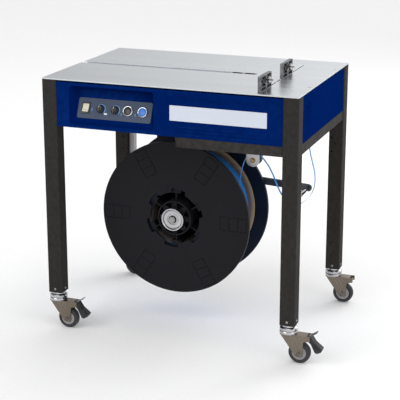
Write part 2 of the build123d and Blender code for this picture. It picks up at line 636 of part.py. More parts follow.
def rear_cover():
    """The back cover, with two banks of cooling slots."""
    cover = cover_shell(INNER_X - COVER_GAP)
    for bank in (-1, 1):
        for i in range(REAR_VENT_COUNT):
            x = bank * REAR_VENT_BANK + (i - REAR_VENT_COUNT // 2) * REAR_VENT_PITCH
            cover -= block(x - REAR_VENT_WIDTH / 2, x + REAR_VENT_WIDTH / 2, -5, 10,
                           REAR_VENT_LOW, REAR_VENT_HIGH)
    return Pos(0, FACE_Y, 0) * Rot(0, 0, 180) * cover


def name_plate():
    """The blank plate on the front cover, between its ribs."""
    x0, x1, z0, z1 = NAME_PLATE
    return block(x0, x1, -FACE_Y - NAME_PLATE_THICK, -FACE_Y, z0, z1)


def screw(towards):
    """A pan-head screw at the origin, whose head is on the given side."""
    direction = Vector(towards)
    head = extrude(Plane(origin=(0, 0, 0), z_dir=direction) * Circle(SCREW_HEAD), SCREW_HEAD_HEIGHT)
    head = fillet(head.edges().group_by(Axis((0, 0, 0), towards))[-1], SCREW_DOME)
    shank = extrude(Plane(origin=(0, 0, 0), z_dir=direction) * Circle(SCREW_SHANK), -SCREW_LENGTH)
    return head + shank


def frame_screws():
    """Every pan-head screw on the outside: leg feet and covers."""
    screws = []
    for x, y in CORNERS.values():
        screws.append(Pos(x, y - LEG_SIDE / 2, SCREW_HEIGHT) * screw((0, -1, 0)))
        screws.append(Pos(x + LEG_SIDE / 2, y, SCREW_HEIGHT) * screw((1, 0, 0)))
    for x, z in COVER_SCREWS:
        screws.append(Pos(x, -FACE_Y, z) * screw((0, -1, 0)))
    screws.append(Pos(FACE_X, SIDE_SCREW[0], SIDE_SCREW[1]) * screw((1, 0, 0)))
    return Compound(screws)


# ---------------------------------------------------------------- table top
def table_plate(y0, y1, folds):
    """A stainless plate with its outer edges folded down."""
    half = TABLE_LENGTH / 2
    top = block(-half, half, y0, y1, TABLE_HEIGHT - PLATE_THICK, TABLE_HEIGHT)
    low = TABLE_HEIGHT - PLATE_FOLD
    for x in (-half, half - PLATE_THICK):
        top += block(x, x + PLATE_THICK, y0, y1, low, TABLE_HEIGHT)
    for y in folds:
        top += block(-half, half, y, y + PLATE_THICK, low, TABLE_HEIGHT)
    top -= block(
        STOP_SLOT_X - STOP_SLOT_WIDTH / 2, STOP_SLOT_X + STOP_SLOT_WIDTH / 2,
        STOP_SLOT_FRONT, STOP_SLOT_BACK, low - 1, TABLE_HEIGHT + 1,
    )
    return top


def plate_slots(y):
    """The two oblong holes of a plate's screws."""
    low, high = TABLE_HEIGHT - PLATE_THICK - 1, TABLE_HEIGHT + 1
    slots = []
    for side in (-1, 1):
        x = side * (TABLE_LENGTH / 2 - PLATE_SCREW_INSET)
        slots.append(Pos(x, y, low) * extrude(SlotOverall(*PLATE_SLOT), high - low))
    return slots[0] + slots[1]


def front_table_plate():
    """The operator's side of the table, notched for the chute and the sealing head."""
    edge = SEAM - SEAM_GAP
    plate = table_plate(-TABLE_DEPTH / 2, edge, [-TABLE_DEPTH / 2])
    plate -= block(-TABLE_LENGTH, HEAD_RIGHT, SEAM - CHUTE_WIDTH, edge + 1, 0, TABLE_HEIGHT + 1)
    return plate - plate_slots(-PLATE_SCREW_Y)


def rear_table_plate():
    """The far side of the table."""
    plate = table_plate(SEAM, TABLE_DEPTH / 2, [TABLE_DEPTH / 2 - PLATE_THICK])
    return plate - plate_slots(REAR_PLATE_SCREW_Y)


def strap_chute():
    """The folded channel between the plates that the strap is pushed along."""
    y0, y1 = SEAM - CHUTE_WIDTH + CHUTE_GAP, SEAM - CHUTE_GAP
    x0, x1 = -TABLE_LENGTH / 2 + CHUTE_INSET, CHUTE_RIGHT - 1
    top = TABLE_HEIGHT - 1
    outside = block(x0, x1, y0, y1, TABLE_HEIGHT - CHUTE_DEPTH - CHUTE_WALL, top)
    return outside - block(x0 - 1, x1 + 1, y0 + CHUTE_SIDE, y1 - CHUTE_SIDE,
                           TABLE_HEIGHT - CHUTE_DEPTH, top + 1)


def package_stop(middle_y):
    """A ribbed upright stop, with the key and keeper that slide in the table's slot."""
    y0, y1 = middle_y - STOP_LENGTH / 2, middle_y + STOP_LENGTH / 2
    z0 = TABLE_HEIGHT + FACE_GAP
    z1 = z0 + STOP_HEIGHT
    x0 = STOP_SLOT_X - STOP_THICK / 2
    x1 = x0 + STOP_THICK
    wall = block(x0, x0 + STOP_RIM, y0, y1, z0, z1)
    frame = block(x0, x1, y0, y1, z0, z1) - block(
        x0 - 1, x1 + 1, y0 + STOP_RIM, y1 - STOP_RIM, z0 + STOP_RIM, z1 - STOP_RIM)
    stop = wall + frame + block(x0, x1, y0, y1, z0 + STOP_SHELF, z0 + STOP_SHELF + STOP_RIM)
    low, high = z0 + STOP_SHELF + 1, z1 - 1
    reach = STOP_LENGTH / 2 - STOP_RIM
    slope = degrees(atan2(high - low - STOP_RIM, reach))
    for side in (-1, 1):
        middle = Pos((x0 + x1) / 2, middle_y + side * STOP_LENGTH / 4, (low + high) / 2)
        near, far = sorted((0, side * (reach + 1)))
        cell = block(x0, x1, middle_y + near, middle_y + far, low, high)
        for lean in (-1, 1):
            stop += middle * Rot(lean * slope, 0, 0) * Box(STOP_THICK, STOP_LENGTH, STOP_RIM) & cell
    stop += block(x0, x1, middle_y - STOP_POST / 2, middle_y + STOP_POST / 2, z0 + STOP_RIM, z1 - STOP_RIM)
    key = STOP_SLOT_WIDTH / 2 - KEY_GAP
    half_wide, half_long = KEEPER_HALF
    stop += block(STOP_SLOT_X - key, STOP_SLOT_X + key, middle_y - half_long, middle_y + half_long,
                  KEEPER_BOTTOM, z0 + STOP_RIM)
    stop += block(STOP_SLOT_X - half_wide, STOP_SLOT_X + half_wide, middle_y - half_long,
                  middle_y + half_long, KEEPER_BOTTOM, KEEPER_BOTTOM + KEEPER_THICK)
    return stop - rod_x(middle_y, STOP_KNOB_Z, KNOB_STEM + SPIN_GAP, x0 + STOP_RIM + 1, x1 + 1)


def stop_knob(middle_y):
    """The star knob and its stem, which clamp a stop."""
    x0 = STOP_SLOT_X + STOP_THICK / 2
    disc = Circle(KNOB_DISC)
    for angle in polar(5, 90):
        disc += Rot(0, 0, angle) * Pos(KNOB_LOBE_AT, 0) * Circle(KNOB_LOBE)
    plane = Plane(origin=(x0 + KNOB_OFFSET, middle_y, STOP_KNOB_Z), x_dir=(0, 1, 0), z_dir=(1, 0, 0))
    knob = extrude(plane * disc, KNOB_THICK)
    return knob + rod_x(middle_y, STOP_KNOB_Z, KNOB_STEM, x0 - STOP_THICK / 2, x0 + KNOB_OFFSET + 17)


# ---------------------------------------------------------------- controls
def on_panel(x, sketch, low, high):
    """A sketch on the panel at x, extruded between two heights above its face."""
    return PANEL * Pos(x, 0, low) * extrude(sketch, high - low)


def control_bezels():
    """The rocker's frame, the buttons' chrome rings and the dials' bushes."""
    frame = on_panel(ROCKER_X, Rectangle(ROCKER_WIDTH + 2 * ROCKER_FRAME, ROCKER_HEIGHT + 2 * ROCKER_FRAME)
                     - Rectangle(ROCKER_WIDTH + 2 * CONTROL_GAP, ROCKER_HEIGHT + 2 * CONTROL_GAP), 0, 3)
    rings = [
        on_panel(x, Circle(BEZEL_RADIUS) - Circle(BUTTON_RADIUS + CONTROL_GAP), 0, BEZEL_HEIGHT)
        for x in (STOP_BUTTON_X, START_BUTTON_X)
    ]
    return Compound([frame, *rings])


def push_button(x):
    """A flat-topped push button that stands a little proud of its ring."""
    cap = on_panel(x, Circle(BUTTON_RADIUS), -2 * BUTTON_TRAVEL, BEZEL_HEIGHT - BUTTON_SINK)
    return fillet(cap.edges().filter_by(GeomType.CIRCLE).sort_by(Axis.Y)[0], 1.0)


def dial(x):
    """A round knob with a flat pointer fin, on its spindle."""
    body = on_panel(x, Circle(DIAL_RADIUS), CONTROL_GAP, DIAL_HEIGHT * 0.55)
    body += on_panel(x, Circle(DIAL_RADIUS - 3), DIAL_HEIGHT * 0.55, DIAL_HEIGHT * 0.8)
    body += on_panel(x, Rectangle(FIN_WIDTH, 2 * DIAL_RADIUS - FIN_WIDTH), DIAL_HEIGHT * 0.5, DIAL_HEIGHT)
    return body + on_panel(x, Circle(SPINDLE), -SPINDLE_DEPTH, 1)


def rocker_switch():
    """The mains rocker, stored with its lower end pressed."""
    half = ROCKER_HEIGHT / 2
    top = [(half, ROCKER_HIGH), (0, ROCKER_LOW), (-half, ROCKER_HIGH)]
    outline = make_face(Polyline([(-half, 0), (half, 0), *top], close=True))
    profile = Plane(origin=(-ROCKER_WIDTH / 2, 0, 0), x_dir=(0, 1, 0), z_dir=(1, 0, 0))
    key = extrude(profile * outline, ROCKER_WIDTH)
    key &= Box(ROCKER_WIDTH, 2 * ROCKER_CUT, 20)
    return PANEL * Pos(ROCKER_X, 0, 1.0) * Rot(-ROCKER_TILT, 0, 0) * key


# ---------------------------------------------------------------- reel
def front_flange():
    """The outer disc, with its ladder recesses and a notched opening."""
    disc = rod_y(REEL_X, REEL_Z, FLANGE_RADIUS, REEL_FRONT, REEL_FRONT + FLANGE_RIM)
    disc -= rod_y(REEL_X, REEL_Z, FLANGE_RADIUS - RIM_WALL, REEL_FRONT + FLANGE_THICK, REEL_FRONT + 40)
    opening = Circle(OPENING_RADIUS)
    for angle in polar(NOTCHES, NOTCH_START):
        opening += Rot(0, 0, angle) * Pos(NOTCH_RADIUS / 2, 0) * Rectangle(NOTCH_RADIUS, NOTCH_WIDTH)
    opening &= Circle(NOTCH_RADIUS)
    front = Plane(origin=(REEL_X, REEL_FRONT - 1, REEL_Z), x_dir=(1, 0, 0), z_dir=(0, -1, 0))
    disc -= extrude(front * opening, -60)
    inner_length, inner_width = RECESS_LENGTH - 2 * RECESS_LINE, RECESS_WIDTH - 2 * RECESS_LINE
    pocket = Rectangle(RECESS_LENGTH, RECESS_WIDTH) - Rectangle(inner_length, inner_width)
    for x in (-RECESS_LENGTH / 6, RECESS_LENGTH / 6):
        pocket += Pos(x, 0) * Rectangle(RECESS_LINE, inner_width)
    middle = FLANGE_RADIUS - RECESS_EDGE - RECESS_LENGTH / 2
    for angle in RECESS_ANGLES:
        disc -= extrude(front * (Rot(0, 0, angle) * Pos(middle, 0) * pocket), -RECESS_DEPTH)
    return disc


def rear_flange():
    """The inner disc, with the brake drum behind it."""
    disc = rod_y(REEL_X, REEL_Z, FLANGE_RADIUS, REAR_FLANGE, REAR_FACE)
    disc -= rod_y(REEL_X, REEL_Z, FLANGE_RADIUS - RIM_WALL, REAR_FLANGE + FLANGE_THICK, REAR_FACE + 1)
    disc += rod_y(REEL_X, REEL_Z, BRAKE_DRUM, REAR_FLANGE, REAR_FLANGE + FLANGE_THICK + BRAKE_DRUM_WIDTH)
    return disc - rod_y(REEL_X, REEL_Z, HUB_SLEEVE + 0.05, 0, REAR_FACE + 60)


def reel_hub():
    """The hub that carries the coil's core: a sleeve, ribs and six core bars."""
    y0, y1 = REEL_FRONT - HUB_FRONT, REAR_FLANGE + FLANGE_THICK + BRAKE_DRUM_WIDTH
    disc = y0 + HUB_MOUTH
    hub = rod_y(REEL_X, REEL_Z, HUB_SLEEVE, y0, y1)
    hub -= rod_y(REEL_X, REEL_Z, HUB_SLEEVE - HUB_WALL, y0 - 1, disc)
    hub -= rod_y(REEL_X, REEL_Z, HUB_SLEEVE - HUB_WALL, disc + HUB_DISC, y1 + 1)
    hub += rod_y(REEL_X, REEL_Z, SHAFT_RADIUS + HUB_BOSS_WALL, y0 + 6, y1)
    outer = CORE_BORE - CORE_GAP
    bars = REEL_FRONT + FLANGE_RIM + 1
    half = HUB_RIB_THICK / 2
    for angle in polar(HUB_RIBS):
        web = Pos(REEL_X, 0, REEL_Z) * Rot(0, angle, 0)
        hub += web * block(SHAFT_RADIUS + 8, HUB_SLEEVE - 2, y0 + 8, y1, -half, half)
    half = HUB_BAR_THICK / 2
    for angle in polar(HUB_BARS, HUB_BAR_START):
        web = Pos(REEL_X, 0, REEL_Z) * Rot(0, angle, 0)
        hub += web * block(HUB_SLEEVE - 2, outer - 3, bars, BOARD_FRONT, -half, half)
        shoe = web * block(outer - SHOE_DEPTH, outer, bars, BOARD_FRONT, -SHOE_WIDTH / 2, SHOE_WIDTH / 2)
        hub += shoe & rod_y(REEL_X, REEL_Z, outer, bars, BOARD_FRONT)
    return hub - rod_y(REEL_X, REEL_Z, SHAFT_RADIUS + SPIN_GAP, y0 - 1, y1 + 1)


def ring_y(outer, inner, y0, y1):
    """A ring about the reel's axis."""
    return rod_y(REEL_X, REEL_Z, outer, y0, y1) - rod_y(REEL_X, REEL_Z, inner, y0 - 1, y1 + 1)


def strap_coil():
    """The wound strap on its core."""
    y0 = BOARD_FRONT - COIL_WIDTH
    return ring_y(COIL_RADIUS, CORE_BORE + CORE_WALL, y0, BOARD_FRONT)


def coil_core():
    """The cardboard core of the coil."""
    return ring_y(CORE_BORE + CORE_WALL, CORE_BORE, BOARD_FRONT - COIL_WIDTH, BOARD_FRONT)


def side_board():
    """The board disc on the coil's far side."""
    return ring_y(BOARD_RADIUS, HUB_SLEEVE + 0.3, BOARD_FRONT, BOARD_FRONT + BOARD_THICK)


def reel_shaft():
    """The fixed shaft, with a collar behind the hub."""
    shaft = rod_y(REEL_X, REEL_Z, SHAFT_RADIUS, SHAFT_END, HANGER_FRONT)
    collar = REAR_FLANGE + FLANGE_THICK + BRAKE_DRUM_WIDTH + FACE_GAP
    return shaft + rod_y(REEL_X, REEL_Z, SHAFT_RADIUS + SHAFT_COLLAR, collar, HANGER_FRONT)


def reel_lock_nut():
    """The dished washer and hexagon nut on the shaft's end."""
    outer, inner, height = WASHER_RING
    front = SHAFT_END - WASHER_THICK
    dish = rod_y(REEL_X, REEL_Z, WASHER_RADIUS, front, SHAFT_END)
    dish -= rod_y(REEL_X, REEL_Z, WASHER_RADIUS - WASHER_RIM, front - 1, SHAFT_END - WASHER_DISH)
    dish += ring_y(outer, inner, SHAFT_END - height, SHAFT_END)
    hexagon = Pos(REEL_X, SHAFT_END, REEL_Z) * Rot(90, 0, 0) * extrude(RegularPolygon(NUT_RADIUS, 6), NUT_END)
    return dish + (hexagon & rod_y(REEL_X, REEL_Z, NUT_ROUND, SHAFT_END - NUT_END, SHAFT_END))


def reel_stand():
    """The bent plate that hangs from the cross rails, with the reel's shaft and the arm's pivot."""
    x0, x1 = CROSS_LEFT - CROSS_WIDTH / 2, CROSS_RIGHT + CROSS_WIDTH / 2
    top = RAIL_TOP - RAIL_HEIGHT
    y0, y1 = HANGER_FRONT, HANGER_FRONT + HANGER_WALL
    low, shoulder, left_low = REEL_Z - HANGER_DROP, REEL_Z + HANGER_SHOULDER, ARM_PIVOT_Z - HANGER_PIVOT_DROP
    plate = side_profile(
        [(x0, top), (x1, top), (x1, shoulder), (REEL_X + HANGER_FOOT, low), (REEL_X - HANGER_FOOT, low),
         (x0, left_low)], y0, y1)
    top_fold, side_fold = HANGER_FOLDS
    plate += block(x0, x1, y0, y0 + top_fold, top - HANGER_WALL, top)
    plate += block(x0, x0 + HANGER_WALL, y0, y0 + side_fold, left_low, top)
    plate += block(x1 - HANGER_WALL, x1, y0, y0 + side_fold, shoulder, top)
    collar = PIVOT_RADIUS + PIVOT_COLLAR
    plate += rod_y(ARM_PIVOT_X, ARM_PIVOT_Z, PIVOT_RADIUS, ARM_FRONT - PIVOT_HEAD + 2, y0 + 1)
    plate += rod_y(ARM_PIVOT_X, ARM_PIVOT_Z, collar, ARM_FRONT + ARM_THICK + FACE_GAP, y0)
    plate += rod_y(ARM_PIVOT_X, ARM_PIVOT_Z, collar, ARM_FRONT - PIVOT_HEAD, ARM_FRONT - FACE_GAP)
    return plate + reel_shaft()


# ---------------------------------------------------------------- dancer arm, guide and strap
def arm_bar(front, back):
    """The arm's flat outline between two depths."""
    plane = Plane(origin=(ARM_PIVOT_X, front, ARM_PIVOT_Z), x_dir=(cos(ARM_ANGLE), 0, sin(ARM_ANGLE)),
                  z_dir=(0, -1, 0))
    bar = Pos(ARM_LENGTH / 2, 0) * SlotCenterToCenter(ARM_LENGTH, ARM_HEIGHT)
    return extrude(plane * bar, front - back)


def dancer_arm():
    """The flat bar with a rod at its end, which lies in the strap's loop."""
    arm = arm_bar(ARM_FRONT, ARM_FRONT + ARM_THICK)
    arm -= rod_y(ARM_PIVOT_X, ARM_PIVOT_Z, PIVOT_RADIUS + SPIN_GAP, ARM_FRONT - 1, ARM_FRONT + ARM_THICK + 1)
    return arm + rod_y(ARM_END_X, ARM_END_Z, ARM_ROD_RADIUS, ROD_FRONT, ARM_FRONT)


def brake_shoe():
    """The friction block under the arm, over the brake drum."""
    arm_z = ARM_PIVOT_Z + (REEL_X - ARM_PIVOT_X) * tan(ARM_ANGLE)
    y0, y1 = REAR_FLANGE + FLANGE_THICK + SHOE_INSET, ARM_FRONT + ARM_THICK
    shoe = block(REEL_X - SHOE_HALF, REEL_X + SHOE_HALF, y0, y1, REEL_Z, arm_z)
    shoe -= arm_bar(y0 - 1, y1 + 1)
    shoe -= rod_y(REEL_X, REEL_Z, BRAKE_DRUM + SHOE_LIFT, y0 - 1, y1 + 1)
    return shoe.solids().sort_by(Axis.Z)[0]


def guide_bracket():
    """The folded bracket under the tray that holds the guide roller."""
    half = GUIDE_LENGTH / 2 + FACE_GAP
    ears = []
    for side in (-1, 1):
        y0 = side * half
        y1 = side * (half + BRACKET_WALL)
        ear = block(GUIDE_X - BRACKET_WIDTH / 2, GUIDE_X + BRACKET_WIDTH / 2, y0, y1, GUIDE_Z, TRAY_BOTTOM)
        ear += rod_y(GUIDE_X, GUIDE_Z, BRACKET_WIDTH / 2, y0, y1)
        ears.append(ear)
    web = block(GUIDE_X - BRACKET_WIDTH / 2, GUIDE_X + BRACKET_WIDTH / 2,
                -half - BRACKET_WALL, half + BRACKET_WALL, TRAY_BOTTOM - BRACKET_WALL, TRAY_BOTTOM)
    bracket = ears[0] + ears[1] + web
    return bracket - rod_y(GUIDE_X, GUIDE_Z, BOLT_RADIUS + SPIN_GAP, -GUIDE_LENGTH, GUIDE_LENGTH)


def guide_roller():
    """The plain roller that the strap runs over, with raised ends."""
    half = GUIDE_LENGTH / 2
    rim = GUIDE_RADIUS + ROLLER_END
    groove_half = STRAP_WIDTH / 2 + ROLLER_MARGIN
    roller = rod_y(GUIDE_X, GUIDE_Z, rim, -half, half)
    groove = rod_y(GUIDE_X, GUIDE_Z, rim + 1, -groove_half, groove_half)
    groove -= rod_y(GUIDE_X, GUIDE_Z, GUIDE_RADIUS, -groove_half, groove_half)
    return roller - groove - rod_y(GUIDE_X, GUIDE_Z, BOLT_RADIUS + SPIN_GAP, -GUIDE_LENGTH, GUIDE_LENGTH)


def guide_bolt():
    """The brass bolt that the roller turns on."""
    reach = GUIDE_LENGTH / 2 + FACE_GAP + BRACKET_WALL
    radius, thick = BOLT_HEAD
    bolt = rod_y(GUIDE_X, GUIDE_Z, BOLT_RADIUS, -reach, reach + thick)
    for y in (-reach - thick / 2, reach + thick / 2):
        hexagon = extrude(RegularPolygon(radius, 6), thick / 2, both=True)
        bolt += Pos(GUIDE_X, y, GUIDE_Z) * Rot(90, 0, 0) * hexagon
    return bolt


def strap_line():
    """The strap's middle line: straight runs joined by arcs as large as the runs allow."""
    points = [Vector(x, 0, z) for x, z in STRAP_ROUTE]
    radii = []
    for before, here, after in zip(points, points[1:], points[2:]):
        turn = radians((here - before).get_angle(after - here))
        shorter = min((here - before).length, (after - here).length)
        radii.append(0.45 * shorter / tan(turn / 2))
    print("strap bend radii:", [round(r) for r in radii])
    return FilletPolyline(points, radius=radii)


def strap_band():
    """The strap from the coil over the guide roller, down in its loop and up into the tray."""
    line = strap_line()
    section = Plane(origin=line @ 0, x_dir=(0, 1, 0), z_dir=line % 0) * Rectangle(STRAP_WIDTH, STRAP_THICK)
    band = sweep(section, path=line)
    share = band.volume / (STRAP_WIDTH * STRAP_THICK * line.length)
    print("strap length", round(line.length), "volume over section times length", round(share, 4))
    return band


# ---------------------------------------------------------------- mechanism inside the casing
def sealing_head():
    """The head's end plates, which carry the camshaft, and its anvil between the table plates."""
    x0, x1 = CHUTE_RIGHT - HEAD_MARGIN, HEAD_RIGHT + HEAD_MARGIN
    y0, y1 = SEAM - CHUTE_WIDTH + CHUTE_GAP, SEAM - CHUTE_GAP
    floor, back = TRAY_BOTTOM + TRAY_WALL, HEAD_BACK + HEAD_PLATE
    head = block(x0, x1, HEAD_FRONT, back, HEAD_BRIDGE_Z, HEAD_TOP)
    for y in (HEAD_FRONT, HEAD_BACK):
        head += block(x0, x1, y, y + HEAD_PLATE, floor, HEAD_TOP)
    for left, right in ANVIL_BARS:
        head += block(left, right, y0, y1, HEAD_TOP, TABLE_HEIGHT - 1)
    head += block(CHUTE_RIGHT, HEAD_RIGHT - 1, y0, y0 + ANVIL_EDGE, HEAD_TOP, TABLE_HEIGHT - 1)
    feed_back = FEED_PLATE_Y + HEAD_PLATE
    head += block(x1, FEED_X + 24, FEED_PLATE_Y, feed_back, FEED_Z - 40, HEAD_TOP)
    head -= rod_y(CAM_X, SHAFT_Z, CAMSHAFT_RADIUS + SPIN_GAP, HEAD_FRONT - 1, back + 1)
    for z in (FEED_Z, PINCH_Z):
        head -= rod_y(FEED_X, z, ROLLER_SHAFT + SPIN_GAP, FEED_PLATE_Y - 1, feed_back + 1)
    return head


def belt_pulley(x, z, radius):
    """A flat pulley with two rims, in the belt's plane."""
    front, back = BELT_Y
    pulley = rod_y(x, z, radius + PULLEY_RIM, front - 2, back + 2)
    groove = rod_y(x, z, radius + PULLEY_RIM + 1, front, back) - rod_y(x, z, radius, front, back)
    return pulley - groove


def camshaft():
    """The camshaft with its four cams and the big belt pulley."""
    shaft = rod_y(CAM_X, SHAFT_Z, CAMSHAFT_RADIUS, HEAD_FRONT - 8, BELT_Y[1] + 12)
    for i, angle in enumerate(CAM_ANGLES):
        y0 = CAM_FIRST + CAM_PITCH * i
        dx, dz = CAM_THROW * cos(radians(angle)), CAM_THROW * sin(radians(angle))
        shaft += rod_y(CAM_X + dx, SHAFT_Z + dz, CAM_RADIUS, y0, y0 + CAM_WIDTH)
    return shaft + belt_pulley(CAM_X, SHAFT_Z, CAM_PULLEY)


def motor_pulley():
    """The small pulley on the motor's shaft."""
    back = BELT_Y[1]
    shaft = rod_y(MOTOR_X, MOTOR_Z, MOTOR_SHAFT, back, back + MOTOR_SHAFT_LENGTH)
    return belt_pulley(MOTOR_X, MOTOR_Z, MOTOR_PULLEY) + shaft


def belt_loop(grow):
    """The outline round both pulleys, grown outwards."""
    span = hypot(MOTOR_X - CAM_X, MOTOR_Z - SHAFT_Z)
    big, small = CAM_PULLEY + grow, MOTOR_PULLEY + grow
    lean = (big - small) / span
    side = (1 - lean * lean) ** 0.5
    outline = make_face(Polyline([
        (big * lean, big * side), (span + small * lean, small * side),
        (span + small * lean, -small * side), (big * lean, -big * side)], close=True))
    return outline + Circle(big) + Pos(span, 0) * Circle(small)


def drive_belt():
    """The flat belt between the motor and the camshaft."""
    lean = degrees(atan2(MOTOR_Z - SHAFT_Z, MOTOR_X - CAM_X))
    loop = belt_loop(BELT_GAP + BELT_THICK) - belt_loop(BELT_GAP)
    plane = Plane(origin=(CAM_X, BELT_Y[0] + 1, SHAFT_Z), x_dir=(1, 0, 0), z_dir=(0, -1, 0))
    return extrude(plane * (Rot(0, 0, lean) * loop), -(BELT_Y[1] - BELT_Y[0] - 2))


def motor():
    """The drive motor on its foot, with a bore for the pulley's shaft."""
    y0 = BELT_Y[1] + MOTOR_BEHIND_BELT
    y1 = y0 + MOTOR_LENGTH
    (foot, foot_inset), (half, inset, rise) = MOTOR_FOOT, MOTOR_BOX
    body = rod_y(MOTOR_X, MOTOR_Z, MOTOR_RADIUS, y0, y1)
    body += block(MOTOR_X - foot, MOTOR_X + foot, y0 + foot_inset, y1 - foot_inset,
                  TRAY_BOTTOM + TRAY_WALL, MOTOR_Z - MOTOR_RADIUS / 2)
    body += block(MOTOR_X - half, MOTOR_X + half, y0 + inset, y1 - 1.5 * inset, MOTOR_Z, MOTOR_Z + rise)
    return body - rod_y(MOTOR_X, MOTOR_Z, MOTOR_SHAFT + SPIN_GAP, y0 - 1, BELT_Y[1] + MOTOR_SHAFT_LENGTH + 2)


def nip_roller(z, radius):
    """A strap feed roller with its short shaft."""
    shaft = rod_y(FEED_X, z, ROLLER_SHAFT, -NIP_HALF - 6, FEED_PLATE_Y + HEAD_PLATE + 3)
    return shaft + rod_y(FEED_X, z, radius, -NIP_HALF, NIP_HALF)


def electrical_box():
    """The sheet metal box behind the panel, with the mains inlet in the left cover."""
    z0, z1 = COVER_BOTTOM + BOX_LIFT, RAIL_TOP - RAIL_HEIGHT - BOX_DROP
    wide, high = INLET_SIZE[0] / 2, INLET_SIZE[1] / 2
    inlet_y = -INLET_Y
    box = block(BOX_LEFT, BOX_RIGHT, BOX_FRONT, BOX_BACK, z0, z1)
    box -= block(BOX_LEFT + BOX_WALL, BOX_RIGHT - BOX_WALL, BOX_FRONT + BOX_WALL, BOX_BACK - BOX_WALL,
                 z0 + BOX_WALL, z1 - BOX_WALL)
    box += block(-FACE_X, BOX_LEFT + BOX_WALL, inlet_y - wide - INLET_RIM, inlet_y + wide + INLET_RIM,
                 INLET_Z - high - INLET_RIM + 1, INLET_Z + high + INLET_RIM - 1)
    return box - block(-FACE_X - 1, -FACE_X + COVER_WALL + INLET_DEPTH, inlet_y - wide, inlet_y + wide,
                       INLET_Z - high, INLET_Z + high)


def nodes():
    """Every node by name, about the middle of the leg frame."""
    parts = {f"leg_{name}": leg(name) for name in CORNERS}
    parts |= {
        "top_frame": top_frame(),
        "mechanism_tray": mechanism_tray(),
        "wiring_duct": wiring_duct(),
        "caster_mounts": caster_mounts(),
        "front_cover": front_cover(),
        "rear_cover": rear_cover(),
        "left_cover": side_cover(-1),
        "right_cover": side_cover(1),
        "control_panel": control_panel(),
        "name_plate": name_plate(),
        "front_table_plate": front_table_plate(),
        "rear_table_plate": rear_table_plate(),
        "strap_chute": strap_chute(),
        "frame_screws": frame_screws(),
        "control_bezels": control_bezels(),
        "rocker_switch": rocker_switch(),
        "tension_dial": dial(DIAL_X),
        "feed_dial": dial(SECOND_DIAL_X),
        "stop_button": push_button(STOP_BUTTON_X),
        "start_button": push_button(START_BUTTON_X),
        "front_package_stop": package_stop(STOP_FRONT_Y),
        "rear_package_stop": package_stop(STOP_REAR_Y),
        "front_stop_knob": stop_knob(STOP_FRONT_Y),
        "rear_stop_knob": stop_knob(STOP_REAR_Y),
        "reel_stand": reel_stand(),
        "reel_lock_nut": reel_lock_nut(),
        "reel_hub": reel_hub(),
        "coil_core": coil_core(),
        "strap_coil": strap_coil(),
        "side_board": side_board(),
        "front_flange": front_flange(),
        "rear_flange": rear_flange(),
        "dancer_arm": dancer_arm(),
        "brake_shoe": brake_shoe(),
        "guide_bracket": guide_bracket(),
        "guide_roller": guide_roller(),
        "guide_bolt": guide_bolt(),
        "strap_band": strap_band(),
        "sealing_head": sealing_head(),
        "camshaft": camshaft(),
        "motor_pulley": motor_pulley(),
        "drive_belt": drive_belt(),
        "motor": motor(),
        "feed_roller": nip_roller(FEED_Z, FEED_RADIUS),
        "pinch_roller": nip_roller(PINCH_Z, PINCH_RADIUS),
        "electrical_box": electrical_box(),
    }
    for name, (x, y) in CORNERS.items():
        parts[f"caster_fork_{name}"] = Pos(x, y, 0) * caster_fork()
        parts[f"caster_wheel_{name}"] = Pos(x, y, 0) * caster_wheel()
        if name.startswith("front"):
            parts[f"brake_pedal_{name}"] = Pos(x, y, 0) * brake_pedal()
    return parts


def main():
    """Writes one STEP file per node, with the origin under the middle of the outline."""
    os.makedirs("parts", exist_ok=True)
    for name, shape in nodes().items():
        export_step(Pos(-OVERHANG / 2, 0, 0) * shape, f"parts/{name}.step")


if __name__ == "__main__":
    main()
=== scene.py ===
"""The finished look of a semi-automatic strapping machine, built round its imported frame.

Metres, in the frame's own axes: +X to the operator's right, +Y to the back and +Z up. Each
sub-assembly is a class that takes its places from the frame's nodes, builds its pieces and dresses
them. A piece either stands for a node or is added to the body that it sits on.
"""

import json
import logging
from dataclasses import dataclass
from enum import Enum
from math import atan2, cos, pi, radians, sin, tan
from random import Random
from typing import Callable, Iterable, Sequence

import bmesh
import bpy
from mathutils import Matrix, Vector

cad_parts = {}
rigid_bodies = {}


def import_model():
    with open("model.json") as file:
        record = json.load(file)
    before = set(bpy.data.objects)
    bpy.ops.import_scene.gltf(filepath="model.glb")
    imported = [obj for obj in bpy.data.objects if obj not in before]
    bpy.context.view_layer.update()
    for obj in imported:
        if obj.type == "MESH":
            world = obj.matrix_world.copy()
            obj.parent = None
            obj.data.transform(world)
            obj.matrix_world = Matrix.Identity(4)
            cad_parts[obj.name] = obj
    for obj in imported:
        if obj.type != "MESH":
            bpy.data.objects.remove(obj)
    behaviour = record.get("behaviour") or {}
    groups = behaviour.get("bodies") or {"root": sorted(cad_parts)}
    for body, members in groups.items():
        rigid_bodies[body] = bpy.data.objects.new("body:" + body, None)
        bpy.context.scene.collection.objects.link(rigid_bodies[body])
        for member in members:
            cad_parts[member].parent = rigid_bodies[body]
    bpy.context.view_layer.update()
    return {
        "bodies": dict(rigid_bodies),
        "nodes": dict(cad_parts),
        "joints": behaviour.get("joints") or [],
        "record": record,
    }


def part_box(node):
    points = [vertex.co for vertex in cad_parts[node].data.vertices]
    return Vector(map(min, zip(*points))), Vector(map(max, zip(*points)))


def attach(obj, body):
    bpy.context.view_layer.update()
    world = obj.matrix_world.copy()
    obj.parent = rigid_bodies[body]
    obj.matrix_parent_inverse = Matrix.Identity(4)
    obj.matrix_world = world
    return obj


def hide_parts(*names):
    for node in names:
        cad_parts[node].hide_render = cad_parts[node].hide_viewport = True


LOG = logging.getLogger("strapping_machine")
